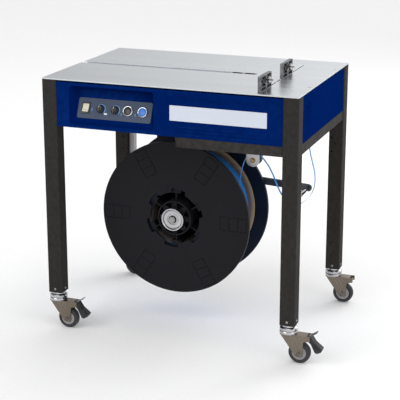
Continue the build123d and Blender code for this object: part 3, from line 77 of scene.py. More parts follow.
SAME_POINT = 1e-6  # vertices nearer than this are one vertex
FLAT_ENOUGH = radians(0.5)  # faces that lean less than this are one face
SHARP = radians(32)  # edges sharper than this are rounded
SOFTER = 3  # how many times further a soft edge is rounded

Colour = tuple[float, float, float]
Flat = tuple[float, float]
Ring = list[Vector]


# ---------------------------------------------------------------- drawing kit
class Axis(Enum):
    """The direction that a turned shape runs along."""

    X = "x"
    Y = "y"
    Z = "z"

    def directions(self) -> tuple[Vector, Vector, Vector]:
        """Returns: the axis itself and two directions across it."""
        x, y, z = Vector((1, 0, 0)), Vector((0, 1, 0)), Vector((0, 0, 1))
        return {Axis.X: (x, y, z), Axis.Y: (y, z, x), Axis.Z: (z, x, y)}[self]


@dataclass(frozen=True)
class Frame:
    """A plane to draw in: an origin and two directions across it."""

    origin: Vector
    u: Vector
    v: Vector

    @property
    def normal(self) -> Vector:
        """The direction out of the plane."""
        return self.u.cross(self.v)

    def at(self, u: float, v: float, out: float = 0.0) -> Vector:
        """A point of the plane.

        Args:
            u: distance along the first direction.
            v: distance along the second direction.
            out: distance out of the plane.

        Returns:
            The point in the machine's frame.
        """
        return self.origin + self.u * u + self.v * v + self.normal * out

    def shifted(self, u: float, v: float = 0.0) -> "Frame":
        """The same plane about a moved origin.

        Args:
            u: shift of the origin along the first direction.
            v: shift of the origin along the second direction.

        Returns:
            The new plane.
        """
        return Frame(self.at(u, v), self.u, self.v)


def facing_front(centre: Vector) -> Frame:
    """A plane that faces the operator. Returns: +X across and +Z up, with -Y out."""
    return Frame(centre, Vector((1, 0, 0)), Vector((0, 0, 1)))


def circle(radius: float, count: int = 32, u: float = 0.0, v: float = 0.0) -> list[Flat]:
    """A round outline.

    Args:
        radius: its radius.
        count: how many points it has.
        u: its middle across.
        v: its middle upwards.

    Returns:
        The outline's points.
    """
    angles = [2 * pi * i / count for i in range(count)]
    return [(u + radius * cos(a), v + radius * sin(a)) for a in angles]


def rounded(corners: Sequence[tuple[float, float, float]], steps: int = 6) -> list[Flat]:
    """A polygon with an arc at each corner.

    Args:
        corners: (across, up, radius) of each corner, in order.
        steps: points on each arc, less one.

    Returns:
        The outline's points.
    """
    outline: list[Flat] = []
    for i, (x, y, radius) in enumerate(corners):
        before, after = corners[i - 1], corners[(i + 1) % len(corners)]
        inward = Vector((before[0] - x, before[1] - y)).normalized()
        onward = Vector((after[0] - x, after[1] - y)).normalized()
        half = inward.angle(onward) / 2
        reach = radius / tan(half)
        centre = Vector((x, y)) + (inward + onward).normalized() * (radius / sin(half))
        start = Vector((x, y)) + inward * reach - centre
        end = Vector((x, y)) + onward * reach - centre
        first = atan2(start.y, start.x)
        sweep = (atan2(end.y, end.x) - first + pi) % (2 * pi) - pi
        for k in range(steps + 1):
            angle = first + sweep * k / steps
            outline.append((centre.x + radius * cos(angle), centre.y + radius * sin(angle)))
    return outline


def rounded_box(width: float, height: float, radius: float, steps: int = 6) -> list[Flat]:
    """A rounded rectangle about the origin. Returns: its points."""
    w, h = width / 2, height / 2
    return rounded([(w, -h, radius), (w, h, radius), (-w, h, radius), (-w, -h, radius)], steps)


def wavy(low: float, high: float, lobes: int, flat: float = 1.5, count: int = 160) -> list[Flat]:
    """A round outline with lobes.

    Args:
        low: radius between the lobes.
        high: radius on the lobes.
        lobes: how many there are.
        flat: how square their shoulders are.
        count: how many points the outline has.

    Returns:
        The outline's points.
    """
    points = []
    for i in range(count):
        angle = 2 * pi * i / count
        wave = max(-1.0, min(1.0, flat * cos(lobes * angle)))
        radius = low + (high - low) * (0.5 + 0.5 * wave)
        points.append((radius * cos(angle), radius * sin(angle)))
    return points


class Shape:
    """A mesh in the making: shells are added one after the other, and then it becomes a piece."""

    def __init__(self) -> None:
        """Starts with nothing."""
        self.bm = bmesh.new()

    @classmethod
    def of_node(cls, node: bpy.types.Object) -> "Shape":
        """A node's own shape, with whole faces in place of its triangles.

        Args:
            node: the frame's object.

        Returns:
            The shape.
        """
        shape = cls()
        shape.bm.from_mesh(node.data)
        bmesh.ops.remove_doubles(shape.bm, verts=shape.bm.verts, dist=SAME_POINT)
        bmesh.ops.dissolve_limit(
            shape.bm, angle_limit=FLAT_ENOUGH, verts=shape.bm.verts, edges=shape.bm.edges)
        return shape

    def skin(self, rings: Sequence[Ring], caps: bool = True, loop: bool = False) -> "Shape":
        """Faces from each ring of points to the next.

        Args:
            rings: rings with the same number of points.
            caps: close the first and the last ring.
            loop: join the last ring to the first instead.

        Returns:
            The shape itself.
        """
        rows = [[self.bm.verts.new(point) for point in ring] for ring in rings]
        pairs = list(zip(rows, rows[1:])) + ([(rows[-1], rows[0])] if loop else [])
        for low, high in pairs:
            for i in range(len(low)):
                j = (i + 1) % len(low)
                self.bm.faces.new((low[i], low[j], high[j], high[i]))
        if caps and not loop:
            self.bm.faces.new(rows[0][::-1])
            self.bm.faces.new(rows[-1])
        return self

    def turned(self, profile: Sequence[Flat], centre: Vector, axis: Axis = Axis.Y,
               sides: int = 64, loop: bool = False) -> "Shape":
        """A shape turned on a lathe.

        Args:
            profile: (distance along the axis, radius) of each point.
            centre: the axis's origin.
            axis: the direction of the axis.
            sides: points round it.
            loop: the profile is a closed outline, as of a ring.

        Returns:
            The shape itself.
        """
        along, out, up = axis.directions()
        rings = []
        for distance, radius in profile:
            middle = centre + along * distance
            angles = [2 * pi * i / sides for i in range(sides)]
            rings.append([middle + (out * cos(a) + up * sin(a)) * radius for a in angles])
        return self.skin(rings, loop=loop)

    def prism(self, outline: Sequence[Flat], frame: Frame, low: float, high: float) -> "Shape":
        """An outline with a thickness.

        Args:
            outline: its points in the plane.
            frame: the plane.
            low: where it starts, out of the plane.
            high: where it ends.

        Returns:
            The shape itself.
        """
        return self.skin([[frame.at(u, v, out) for u, v in outline] for out in (low, high)])

    def domed(self, outline: Sequence[Flat], frame: Frame, steps: Sequence[Flat]) -> "Shape":
        """An outline that shrinks as it rises.

        Args:
            outline: its points in the plane, about the plane's origin.
            frame: the plane.
            steps: (height, share of the outline's size) of each ring.

        Returns:
            The shape itself.
        """
        return self.skin([[frame.at(u * k, v * k, out) for u, v in outline] for out, k in steps])

    def block(self, low: Sequence[float], high: Sequence[float]) -> "Shape":
        """A box between two corners. Returns: the shape itself."""
        x0, y0, z0 = low
        x1, y1, z1 = high
        rings = [[Vector((x0, y0, z)), Vector((x1, y0, z)), Vector((x1, y1, z)), Vector((x0, y1, z))]
                 for z in (z0, z1)]
        return self.skin(rings)

    def ridge(self, path: Sequence[Vector], out: Vector, width: float, height: float) -> "Shape":
        """A raised rib with a round back and tapered ends, pressed out of a face.

        Args:
            path: the rib's middle line, on the face.
            out: the face's normal.
            width: the rib's width.
            height: how far it stands out.

        Returns:
            The shape itself.
        """
        rings = []
        for i, point in enumerate(path):
            onward = path[min(i + 1, len(path) - 1)] - path[max(i - 1, 0)]
            side = out.cross(onward).normalized()
            taper = 0.25 if i in (0, len(path) - 1) else 1.0
            ring = []
            for k in range(9):
                angle = pi * k / 8
                ring.append(point + side * (width / 2 * cos(angle) * (0.5 + taper / 2))
                            + out * (height * taper * sin(angle) - height * 0.15))
            rings.append(ring)
        return self.skin(rings)

    def filled(self, outline: Ring, holes: Sequence[Ring]) -> "Shape":
        """A flat face with holes.

        Args:
            outline: its outer ring of points.
            holes: a ring of points for each hole.

        Returns:
            The shape itself.
        """
        edges = []
        for ring in (outline, *holes):
            verts = [self.bm.verts.new(point) for point in ring]
            edges += [self.bm.edges.new((a, b)) for a, b in zip(verts, verts[1:] + verts[:1])]
        bmesh.ops.triangle_fill(self.bm, use_beauty=True, edges=edges)
        return self


# ---------------------------------------------------------------- finishes
CLOUDS: Flat = (0.35, 0.65)  # the part of a cloudy noise that turns from one value to the other
GRAIN_BAND: Flat = (0.55, 0.75)  # the part of the grain that darkens the colour
GRAIN_SHADE = 0.82  # the darker colour's share of the colour
GRAIN_SHARE = 0.5  # how much of the darker colour the grain brings in
COAT_ROUGHNESS = 0.12  # of the clear layer over a glossy finish
WEAR_AND_SHEEN_PATCHES = 60.0  # patches per metre in the lighter edges: rubbed wear and a painted edge highlight
WEAR_AND_SHEEN_SHARE: Flat = (0.3, 1.0)  # the least and the most that a lighter edge shows, as rubbed wear and painted highlight
RIM_FADE = 0.012  # how far a cut rim's colour fades in
EMBOSS_DEPTH = 0.00012  # height of the strap's pattern


class Slot(Enum):
    """The material slots of the machine."""

    FRAME_PAINT = "frame_paint"
    DUCT_GREY = "duct_grey"
    RACE_CHROME = "race_chrome"
    FORK_ZINC = "fork_zinc"
    WHEEL_RUBBER = "wheel_rubber"
    COVER_BLUE = "cover_blue"
    PANEL_GREY = "panel_grey"
    PLATE_WHITE = "plate_white"
    TABLE_STEEL = "table_steel"
    SCREW_STEEL = "screw_steel"
    BEZEL_CHROME = "bezel_chrome"
    ROCKER_CREAM = "rocker_cream"
    CONTROL_BLACK = "control_black"
    BUTTON_BLUE = "button_blue"
    STOP_BLACK = "stop_black"
    REEL_PLASTIC = "reel_plastic"
    REAR_FLANGE_PLASTIC = "rear_flange_plastic"
    CORE_BOARD = "core_board"
    STRAP_BLUE = "strap_blue"
    ARM_STEEL = "arm_steel"
    BRACKET_STEEL = "bracket_steel"
    ROLLER_PLASTIC = "roller_plastic"
    BOLT_BRASS = "bolt_brass"
    HEAD_STEEL = "head_steel"
    MOTOR_GREY = "motor_grey"
    BOX_GREY = "box_grey"
    PEDAL_RUBBER = "pedal_rubber"


class Board:
    """A material's node tree, with short ways to add and join nodes."""

    def __init__(self, name: str) -> None:
        """Makes the material with its shader and its place socket.

        Args:
            name: the material's name.
        """
        self.material = bpy.data.materials.new(name)
        self.material.use_nodes = True
        self.tree = self.material.node_tree
        self.shader = self.tree.nodes["Principled BSDF"]
        self.place = self.add("ShaderNodeTexCoord").outputs["Object"]

    def add(self, kind: str, **settings: object) -> bpy.types.Node:
        """A new node.

        Args:
            kind: its Blender type.
            settings: its properties.

        Returns:
            The node.
        """
        node = self.tree.nodes.new(kind)
        for key, value in settings.items():
            setattr(node, key, value)
        return node

    def join(self, source: bpy.types.NodeSocket, target: bpy.types.NodeSocket) -> None:
        """Joins one node's output to another's input."""
        self.tree.links.new(source, target)

    def stretched(self, stretch: Colour) -> bpy.types.NodeSocket:
        """The place socket, scaled along each axis. Returns: the scaled socket."""
        mapping = self.add("ShaderNodeMapping")
        mapping.inputs["Scale"].default_value = stretch
        self.join(self.place, mapping.inputs["Vector"])
        return mapping.outputs["Vector"]

    def noise(self, scale: float, detail: float = 3.0, stretch: Colour = (1, 1, 1)) -> bpy.types.NodeSocket:
        """Cloudy noise.

        Args:
            scale: marks per metre.
            detail: octaves of finer marks.
            stretch: how the marks are squeezed along each axis.

        Returns:
            The noise's value socket.
        """
        node = self.add("ShaderNodeTexNoise")
        node.inputs["Scale"].default_value = scale
        node.inputs["Detail"].default_value = detail
        self.join(self.stretched(stretch), node.inputs["Vector"])
        return node.outputs["Fac"]

    def spread(self, value: bpy.types.NodeSocket, source: Flat, target: Flat) -> bpy.types.NodeSocket:
        """Maps a range of values to another.

        Args:
            value: the socket to map.
            source: the range that it is in.
            target: the range that it is mapped to.

        Returns:
            The mapped socket.
        """
        node = self.add("ShaderNodeMapRange", clamp=True)
        for name, number in zip(("From Min", "From Max", "To Min", "To Max"), (*source, *target)):
            node.inputs[name].default_value = number
        self.join(value, node.inputs["Value"])
        return node.outputs["Result"]

    def blend(self, factor: bpy.types.NodeSocket, low: object, high: object) -> bpy.types.NodeSocket:
        """Mixes two colours.

        Args:
            factor: the share of the second colour.
            low: the first colour, or a socket.
            high: the second colour, or a socket.

        Returns:
            The mixed colour's socket.
        """
        node = self.add("ShaderNodeMix", data_type="RGBA")
        self.join(factor, node.inputs[0])
        for socket, value in ((node.inputs[6], low), (node.inputs[7], high)):
            if isinstance(value, tuple):
                socket.default_value = (*value, 1.0)
            else:
                self.join(value, socket)
        return node.outputs[2]

    def raise_by(self, height: bpy.types.NodeSocket, depth: float) -> None:
        """Raises the surface by a height pattern.

        Args:
            height: the pattern, from 0 to 1.
            depth: the height of its full range, in metres.
        """
        before = self.shader.inputs["Normal"].links
        node = self.add("ShaderNodeBump")
        node.inputs["Distance"].default_value = depth
        self.join(height, node.inputs["Height"])
        if before:
            self.join(before[0].from_socket, node.inputs["Normal"])
        self.join(node.outputs["Normal"], self.shader.inputs["Normal"])

    def edges(self, start: float = 0.51, full: float = 0.58) -> bpy.types.NodeSocket:
        """How much a point lies on an outer edge. Returns: the value's socket."""
        return self.spread(self.add("ShaderNodeNewGeometry").outputs["Pointiness"], (start, full), (0, 1))


@dataclass(frozen=True)
class Finish:
    """A surface: its colours, its gloss and its grain."""

    colour: Colour
    tint: Colour  # drifts in over the surface
    roughness: Flat = (0.35, 0.5)
    drift: float = 4.0  # patches of the tint per metre
    metallic: float = 0.0
    specular: float = 0.5
    coat: float = 0.0
    grain: float = 900.0  # marks per metre
    stretch: Colour = (1.0, 1.0, 1.0)
    depth: float = 0.00004
    edge_wear_and_sheen: Colour | None = None  # colour of the lighter edges: rubbed wear and a painted edge highlight

    def material(self, name: str) -> bpy.types.Material:
        """Makes the finish.

        Args:
            name: the material's name.

        Returns:
            The material.
        """
        board = Board(name)
        self.set_gloss(board)
        grain = board.noise(self.grain, 4.0, self.stretch)
        self.join_colour(board, self.colours(board, grain))
        patches = board.noise(self.drift * 3, 5.0, self.stretch)
        board.join(board.spread(patches, (0.3, 0.7), self.roughness), board.shader.inputs["Roughness"])
        board.raise_by(grain, self.depth)
        self.emboss(board)
        return board.material

    def emboss(self, board: Board) -> None:
        """Adds a relief of the finish's own; a plain finish has none."""

    def set_gloss(self, board: Board) -> None:
        """Sets what is the same all over the surface."""
        board.shader.inputs["Metallic"].default_value = self.metallic
        board.shader.inputs["Specular IOR Level"].default_value = self.specular
        board.shader.inputs["Coat Weight"].default_value = self.coat
        board.shader.inputs["Coat Roughness"].default_value = COAT_ROUGHNESS

    def colours(self, board: Board, grain: bpy.types.NodeSocket) -> bpy.types.NodeSocket:
        """The surface's own colour.

        Args:
            board: the material's nodes.
            grain: the finish's grain.

        Returns:
            The colour's socket.
        """
        drift = board.spread(board.noise(self.drift, 5.0, self.stretch), CLOUDS, (0, 1))
        base = board.blend(drift, self.colour, self.tint)
        darker = tuple(channel * GRAIN_SHADE for channel in self.colour)
        return board.blend(board.spread(grain, GRAIN_BAND, (0, GRAIN_SHARE)), base, darker)

    def join_colour(self, board: Board, colour: bpy.types.NodeSocket) -> None:
        """Joins the colour to the shader, with lighter edges where the finish has them: rubbed wear and a
        painted edge highlight.
        """
        # outer edges turn lighter by pointiness: partly rubbed wear, partly a painted highlight
        if self.edge_wear_and_sheen:
            patchy = board.spread(board.noise(WEAR_AND_SHEEN_PATCHES, 4.0), CLOUDS, WEAR_AND_SHEEN_SHARE)
            wear_and_sheen_mask = board.add("ShaderNodeMath", operation="MULTIPLY")
            board.join(board.edges(), wear_and_sheen_mask.inputs[0])
            board.join(patchy, wear_and_sheen_mask.inputs[1])
            colour = board.blend(wear_and_sheen_mask.outputs[0], colour, self.edge_wear_and_sheen)
        board.join(colour, board.shader.inputs["Base Color"])


@dataclass(frozen=True)
class KraftBoard(Finish):
    """Grey-brown board, whose outer rim is cut and tan."""

    rim: Colour = (0.42, 0.3, 0.18)
    rim_radius: float = 0.2
    centre: Flat = (0.0, 0.0)

    def colours(self, board: Board, grain: bpy.types.NodeSocket) -> bpy.types.NodeSocket:
        """Fibres over the whole, and the tan rim.

        Args:
            board: the material's nodes.
            grain: the finish's grain.

        Returns:
            The colour's socket.
        """
        base = Finish.colours(self, board, grain)
        shift = board.add("ShaderNodeMapping")
        shift.inputs["Location"].default_value = (-self.centre[0], 0.0, -self.centre[1])
        shift.inputs["Scale"].default_value = (1.0, 0.0, 1.0)
        board.join(board.place, shift.inputs["Vector"])
        length = board.add("ShaderNodeVectorMath", operation="LENGTH")
        board.join(shift.outputs["Vector"], length.inputs[0])
        edge = board.spread(length.outputs["Value"], (self.rim_radius, self.rim_radius + RIM_FADE), (0, 1))
        return board.blend(edge, base, self.rim)


@dataclass(frozen=True)
class StrapFilm(Finish):
    """Plastic strap with its rolled diamond embossing."""

    pitch: float = 0.0022

    def emboss(self, board: Board) -> None:
        """Crossed diagonal lines."""
        waves = []
        for lean in (1.0, -1.0):
            node = board.add("ShaderNodeTexWave", wave_type="BANDS", bands_direction="DIAGONAL")
            node.inputs["Scale"].default_value = 1 / self.pitch / 6
            board.join(board.stretched((1.0, lean, 1.0)), node.inputs["Vector"])
            waves.append(node.outputs["Fac"])
        both = board.add("ShaderNodeMath", operation="MAXIMUM")
        board.join(waves[0], both.inputs[0])
        board.join(waves[1], both.inputs[1])
        board.raise_by(both.outputs[0], EMBOSS_DEPTH)


def paint(colour: Colour, tint: Colour, gloss: Flat, specular: float, edge_wear_and_sheen: Colour | None = None) -> Finish:
    """Powder coat. Returns: its finish."""
    return Finish(colour, tint, gloss, 3.0, specular=specular, grain=1400.0, depth=0.00003, edge_wear_and_sheen=edge_wear_and_sheen)


def metal(colour: Colour, tint: Colour, gloss: Flat, stretch: Colour = (1, 1, 1), depth: float = 1e-5,
          drift: float = 8.0) -> Finish:
    """Bare or plated metal. Returns: its finish."""
    return Finish(colour, tint, gloss, drift, metallic=1.0, grain=1600.0, stretch=stretch, depth=depth)


def plastic(colour: Colour, tint: Colour, gloss: Flat, specular: float = 0.3, depth: float = 5e-5,
            coat: float = 0.0, edge_wear_and_sheen: Colour | None = None) -> Finish:
    """Moulded plastic or rubber. Returns: its finish."""
    return Finish(colour, tint, gloss, 6.0, specular=specular, coat=coat, grain=1100.0, depth=depth,
                  edge_wear_and_sheen=edge_wear_and_sheen)


class Palette:
    """Every finish of the machine as a material."""

    def __init__(self) -> None:
        """Makes the materials."""
        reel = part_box("side_board")
        middle = (reel[0] + reel[1]) / 2
        along_x, along_z = (0.02, 1.0, 1.0), (1.0, 1.0, 0.03)
        finishes: dict[Slot, Finish] = {
            # a paint's or plastic's last colour, where given, lightens its outer edges: rubbed wear and a
            # painted edge highlight
            Slot.FRAME_PAINT: paint((0.0225, 0.0212, 0.0198), (0.0255, 0.024, 0.0225), (0.45, 0.58), 0.015,
                                    (0.045, 0.043, 0.040)),
            Slot.DUCT_GREY: plastic((0.36, 0.345, 0.355), (0.33, 0.315, 0.325), (0.45, 0.6)),
            Slot.RACE_CHROME: metal((0.50, 0.50, 0.52), (0.42, 0.42, 0.44), (0.08, 0.18)),
            Slot.FORK_ZINC: metal((0.235, 0.20, 0.165), (0.18, 0.15, 0.12), (0.24, 0.4), along_z, 2e-5),
            Slot.WHEEL_RUBBER: plastic((0.036, 0.036, 0.041), (0.048, 0.048, 0.053), (0.5, 0.7), 0.15, 8e-5),
            Slot.COVER_BLUE: paint((0.0003, 0.0098, 0.087), (0.0004, 0.0110, 0.095), (0.36, 0.48), 0.0,
                                   (0.002, 0.022, 0.14)),
            Slot.PANEL_GREY: paint((0.060, 0.078, 0.118), (0.066, 0.085, 0.128), (0.4, 0.55), 0.1),
            Slot.PLATE_WHITE: paint((0.60, 0.635, 0.72), (0.58, 0.615, 0.70), (0.35, 0.5), 0.1),
            Slot.TABLE_STEEL: metal((0.66, 0.69, 0.72), (0.60, 0.63, 0.665), (0.24, 0.36), along_x, 1.2e-5),
            Slot.SCREW_STEEL: metal((0.34, 0.33, 0.315), (0.27, 0.26, 0.25), (0.18, 0.32)),
            Slot.BEZEL_CHROME: metal((0.76, 0.77, 0.79), (0.68, 0.69, 0.71), (0.08, 0.2)),
            Slot.ROCKER_CREAM: plastic((0.60, 0.56, 0.43), (0.54, 0.5, 0.38), (0.25, 0.4), 0.4, 3e-5, 0.3),
            Slot.CONTROL_BLACK: plastic((0.008, 0.008, 0.010), (0.012, 0.012, 0.014), (0.16, 0.28), 0.35,
                                        1.5e-5, 0.15),
            Slot.BUTTON_BLUE: plastic((0.02, 0.15, 0.55), (0.018, 0.13, 0.48), (0.2, 0.35), 0.4, 2e-5, 0.3),
            # the light grey on the stops' outer edges and ribs is mostly a painted highlight
            Slot.STOP_BLACK: plastic((0.05, 0.051, 0.056), (0.062, 0.064, 0.07), (0.42, 0.6), 0.08, 5e-5,
                                     edge_wear_and_sheen=(0.3, 0.3, 0.31)),
            Slot.REEL_PLASTIC: plastic((0.0130, 0.0130, 0.0158), (0.0138, 0.0138, 0.0168), (0.42, 0.5), 0.07,
                                       1.5e-5),
            Slot.REAR_FLANGE_PLASTIC: plastic((0.004, 0.006, 0.013), (0.003, 0.009, 0.026), (0.38, 0.55),
                                              0.18),
            Slot.CORE_BOARD: KraftBoard((0.165, 0.135, 0.125), (0.125, 0.108, 0.108), (0.55, 0.75), 5.0,
                                        grain=500.0, depth=8e-5, specular=0.2,
                                        rim_radius=(reel[1].x - reel[0].x) / 2 - 0.016,
                                        centre=(middle.x, middle.z)),
            Slot.STRAP_BLUE: StrapFilm((0.02, 0.19, 0.60), (0.03, 0.25, 0.72), (0.22, 0.36), 9.0,
                                       specular=0.4, grain=700.0, depth=2e-5),
            Slot.ARM_STEEL: paint((0.022, 0.030, 0.040), (0.06, 0.068, 0.078), (0.12, 0.28), 0.5,
                                  (0.12, 0.13, 0.14)),
            Slot.BRACKET_STEEL: metal((0.50, 0.50, 0.50), (0.42, 0.42, 0.425), (0.25, 0.42), along_z, 2e-5),
            Slot.ROLLER_PLASTIC: plastic((0.10, 0.10, 0.105), (0.12, 0.12, 0.125), (0.3, 0.45)),
            Slot.BOLT_BRASS: metal((0.36, 0.27, 0.15), (0.26, 0.19, 0.11), (0.2, 0.36)),
            Slot.HEAD_STEEL: metal((0.38, 0.38, 0.39), (0.3, 0.3, 0.31), (0.28, 0.42), along_x, 2e-5),
            Slot.MOTOR_GREY: metal((0.33, 0.34, 0.36), (0.27, 0.28, 0.3), (0.4, 0.6), depth=1.2e-4),
            Slot.BOX_GREY: paint((0.28, 0.29, 0.3), (0.26, 0.27, 0.28), (0.4, 0.55), 0.3),
            Slot.PEDAL_RUBBER: plastic((0.009, 0.009, 0.010), (0.013, 0.013, 0.014), (0.3, 0.5), 0.15, 8e-5,
                                       edge_wear_and_sheen=(0.06, 0.06, 0.065)),
        }
        self.materials = {slot: finish.material(slot.value) for slot, finish in finishes.items()}
        inks = {
            "scale_ink": Finish((0.10, 0.30, 0.62), (0.12, 0.33, 0.66), (0.4, 0.5), grain=600.0, depth=5e-6),
            "label_ink": Finish((0.62, 0.72, 0.84), (0.66, 0.75, 0.86), (0.4, 0.5), grain=600.0, depth=5e-6),
        }
        self.inks = {name: finish.material(name) for name, finish in inks.items()}

    def __getitem__(self, slot: Slot) -> bpy.types.Material:
        """The slot's material."""
        return self.materials[slot]


# ---------------------------------------------------------------- workshop
class Workshop:
    """Turns shapes into pieces that ride on the frame's bodies."""

    def __init__(self, frame: dict) -> None:
        """Reads which body and which slot each node belongs to.
        """
        record = frame["record"]
        self.nodes: dict[str, bpy.types.Object] = frame["nodes"]
        self.palette = Palette()
        self.body = {n: body for body, group in record["behaviour"]["bodies"].items() for n in group}
        self.slot = {part["node"]: Slot(part["material_slot"]) for part in record["subparts"]}
        for name, node in self.nodes.items():
            node.data.materials.clear()
            node.data.materials.append(self.palette[self.slot[name]])

    def piece(self, shape: Shape, name: str, slot: Slot, body: str, bevel: float = 0.0,
              replaces: Iterable[str] = (), ink: str | None = None) -> bpy.types.Object:
        """Makes a piece.

        Args:
            shape: its mesh in the making, which is used up.
            name: the piece's name.
            slot: the material slot that it takes its finish from.
            body: the body that it rides on.
            bevel: how far its sharp edges are rounded.
            replaces: the nodes that it stands for.
            ink: a printed colour in place of the slot's own.

        Returns:
            The piece.
        """
        bmesh.ops.recalc_face_normals(shape.bm, faces=shape.bm.faces)
        mesh = bpy.data.meshes.new(name)
        shape.bm.to_mesh(mesh)
        shape.bm.free()
        for polygon in mesh.polygons:
            polygon.use_smooth = True
        piece = bpy.data.objects.new(name, mesh)
        bpy.context.scene.collection.objects.link(piece)
        mesh.materials.append(self.palette.inks[ink] if ink else self.palette[slot])
        if bevel:
            self.round_edges(piece, bevel)
        else:
            mesh.set_sharp_from_angle(angle=SHARP)
        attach(piece, body)
        if replaces:
            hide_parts(*replaces)
        LOG.info("%s on %s", name, body)
        return piece

    @staticmethod
    def round_edges(piece: bpy.types.Object, width: float, weighted: bool = False) -> None:
        """Rounds a piece's sharp edges.

        Args:
            piece: the piece.
            width: how far from the edge the rounding starts.
            weighted: read the width's share from each edge.
        """
        bevel = piece.modifiers.new("rounded_edges", "BEVEL")
        bevel.width, bevel.segments = width, 2
        bevel.limit_method = "WEIGHT" if weighted else "ANGLE"
        bevel.angle_limit = SHARP
        bevel.miter_outer = "MITER_ARC"
        normals = piece.modifiers.new("flat_faces", "WEIGHTED_NORMAL")
        normals.keep_sharp = True

    def eased(self, node: str, bevel: float, soft: Callable[[Vector], bool] | None = None,
              whole: bool = True) -> bpy.types.Object:
        """A node's own shape with rounded edges, which stands for it.

        Args:
            node: the node's name.
            bevel: how far its edges are rounded.
            soft: tells from an edge's middle whether it is rounded three times as far.
            whole: keep its flat faces whole, which suits a face with few cut-outs.

        Returns:
            The piece.
        """
        shape = Shape.of_node(self.nodes[node])
        if not whole:
            bmesh.ops.triangulate(shape.bm, faces=[f for f in shape.bm.faces if len(f.verts) > 4])
        if soft:
            layer = shape.bm.edges.layers.float.new("bevel_weight_edge")
            for edge in shape.bm.edges:
                if len(edge.link_faces) == 2 and edge.calc_face_angle() > SHARP:
                    middle = (edge.verts[0].co + edge.verts[1].co) / 2
                    edge[layer] = 1.0 if soft(middle) else 1 / SOFTER
        piece = self.piece(shape, f"{node}_finished", self.slot[node], self.body[node],
                           0.0 if soft else bevel, [node])
        if soft:
            self.round_edges(piece, bevel * SOFTER, weighted=True)
        return piece


def middle_of(node: str) -> Vector:
    """The middle of a node's box. Returns: the point."""
    low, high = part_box(node)
    return (low + high) / 2


# ---------------------------------------------------------------- legs and casing
@dataclass
class LegFrame:
    """The four legs, the rails between them, the trunking and every visible screw."""

    shop: Workshop
    edge: float = 0.0006
    head_radius: float = 0.0046
    head_height: float = 0.0024
    foot_screws_below: float = 0.4

    def build(self) -> None:
        """Builds the legs, the rails and the screws."""
        for corner in ("front_left", "front_right", "rear_left", "rear_right"):
            self.shop.eased(f"leg_{corner}", self.edge)
        self.shop.eased("top_frame", 0.001)
        self.shop.eased("wiring_duct", 0.0008)
        self.screws()

    def screws(self) -> None:
        """Pan heads with a socket, where the frame's own screws are."""
        foot, cover = Shape(), Shape()
        for centre, out in self.places(self.shop.nodes["frame_screws"]):
            self.screw(foot if centre.z < self.foot_screws_below else cover, centre, out)
        self.shop.piece(foot, "foot_screws", Slot.SCREW_STEEL, "frame", replaces=["frame_screws"])
        self.shop.piece(cover, "painted_cover_screws", Slot.COVER_BLUE, "frame")

    def places(self, node: bpy.types.Object) -> list[tuple[Vector, Vector]]:
        """Finds the screws in the node.

        Args:
            node: the frame's node with every screw.

        Returns:
            For each screw, the point on the face under its head and the way it faces.
        """
        work = bmesh.new()
        work.from_mesh(node.data)
        bmesh.ops.remove_doubles(work, verts=work.verts, dist=SAME_POINT)
        left = set(work.verts)
        found = []
        while left:
            group, queue = [], [left.pop()]
            while queue:
                vert = queue.pop()
                group.append(vert.co.copy())
                for edge in vert.link_edges:
                    other = edge.other_vert(vert)
                    if other in left:
                        left.remove(other)
                        queue.append(other)
            low = Vector([min(p[i] for p in group) for i in range(3)])
            high = Vector([max(p[i] for p in group) for i in range(3)])
            middle, size = (low + high) / 2, high - low
            if size.y > size.x:
                found.append((Vector((middle.x, low.y + self.head_height, middle.z)), Vector((0, -1, 0))))
            else:
                found.append((Vector((high.x - self.head_height, middle.y, middle.z)), Vector((1, 0, 0))))
        work.free()
        return sorted(found, key=lambda place: tuple(place[0]))

    def screw(self, shape: Shape, centre: Vector, out: Vector) -> None:
        """One pan head with its socket.

        Args:
            shape: the mesh that it is added to.
            centre: the point on the face under the head.
            out: the way the head faces.
        """
        across = Vector((1, 0, 0)) if abs(out.y) > 0.5 else Vector((0, 1, 0))
        frame = Frame(centre, across, out.cross(across))
        r, h = self.head_radius, self.head_height
        steps = [(0, 1.0), (h * 0.35, 1.0), (h * 0.7, 0.9), (h * 0.92, 0.7), (h, 0.48)]
        shape.domed(circle(r, 24), frame, [*steps, (h * 0.96, 0.42), (h * 0.4, 0.4)])


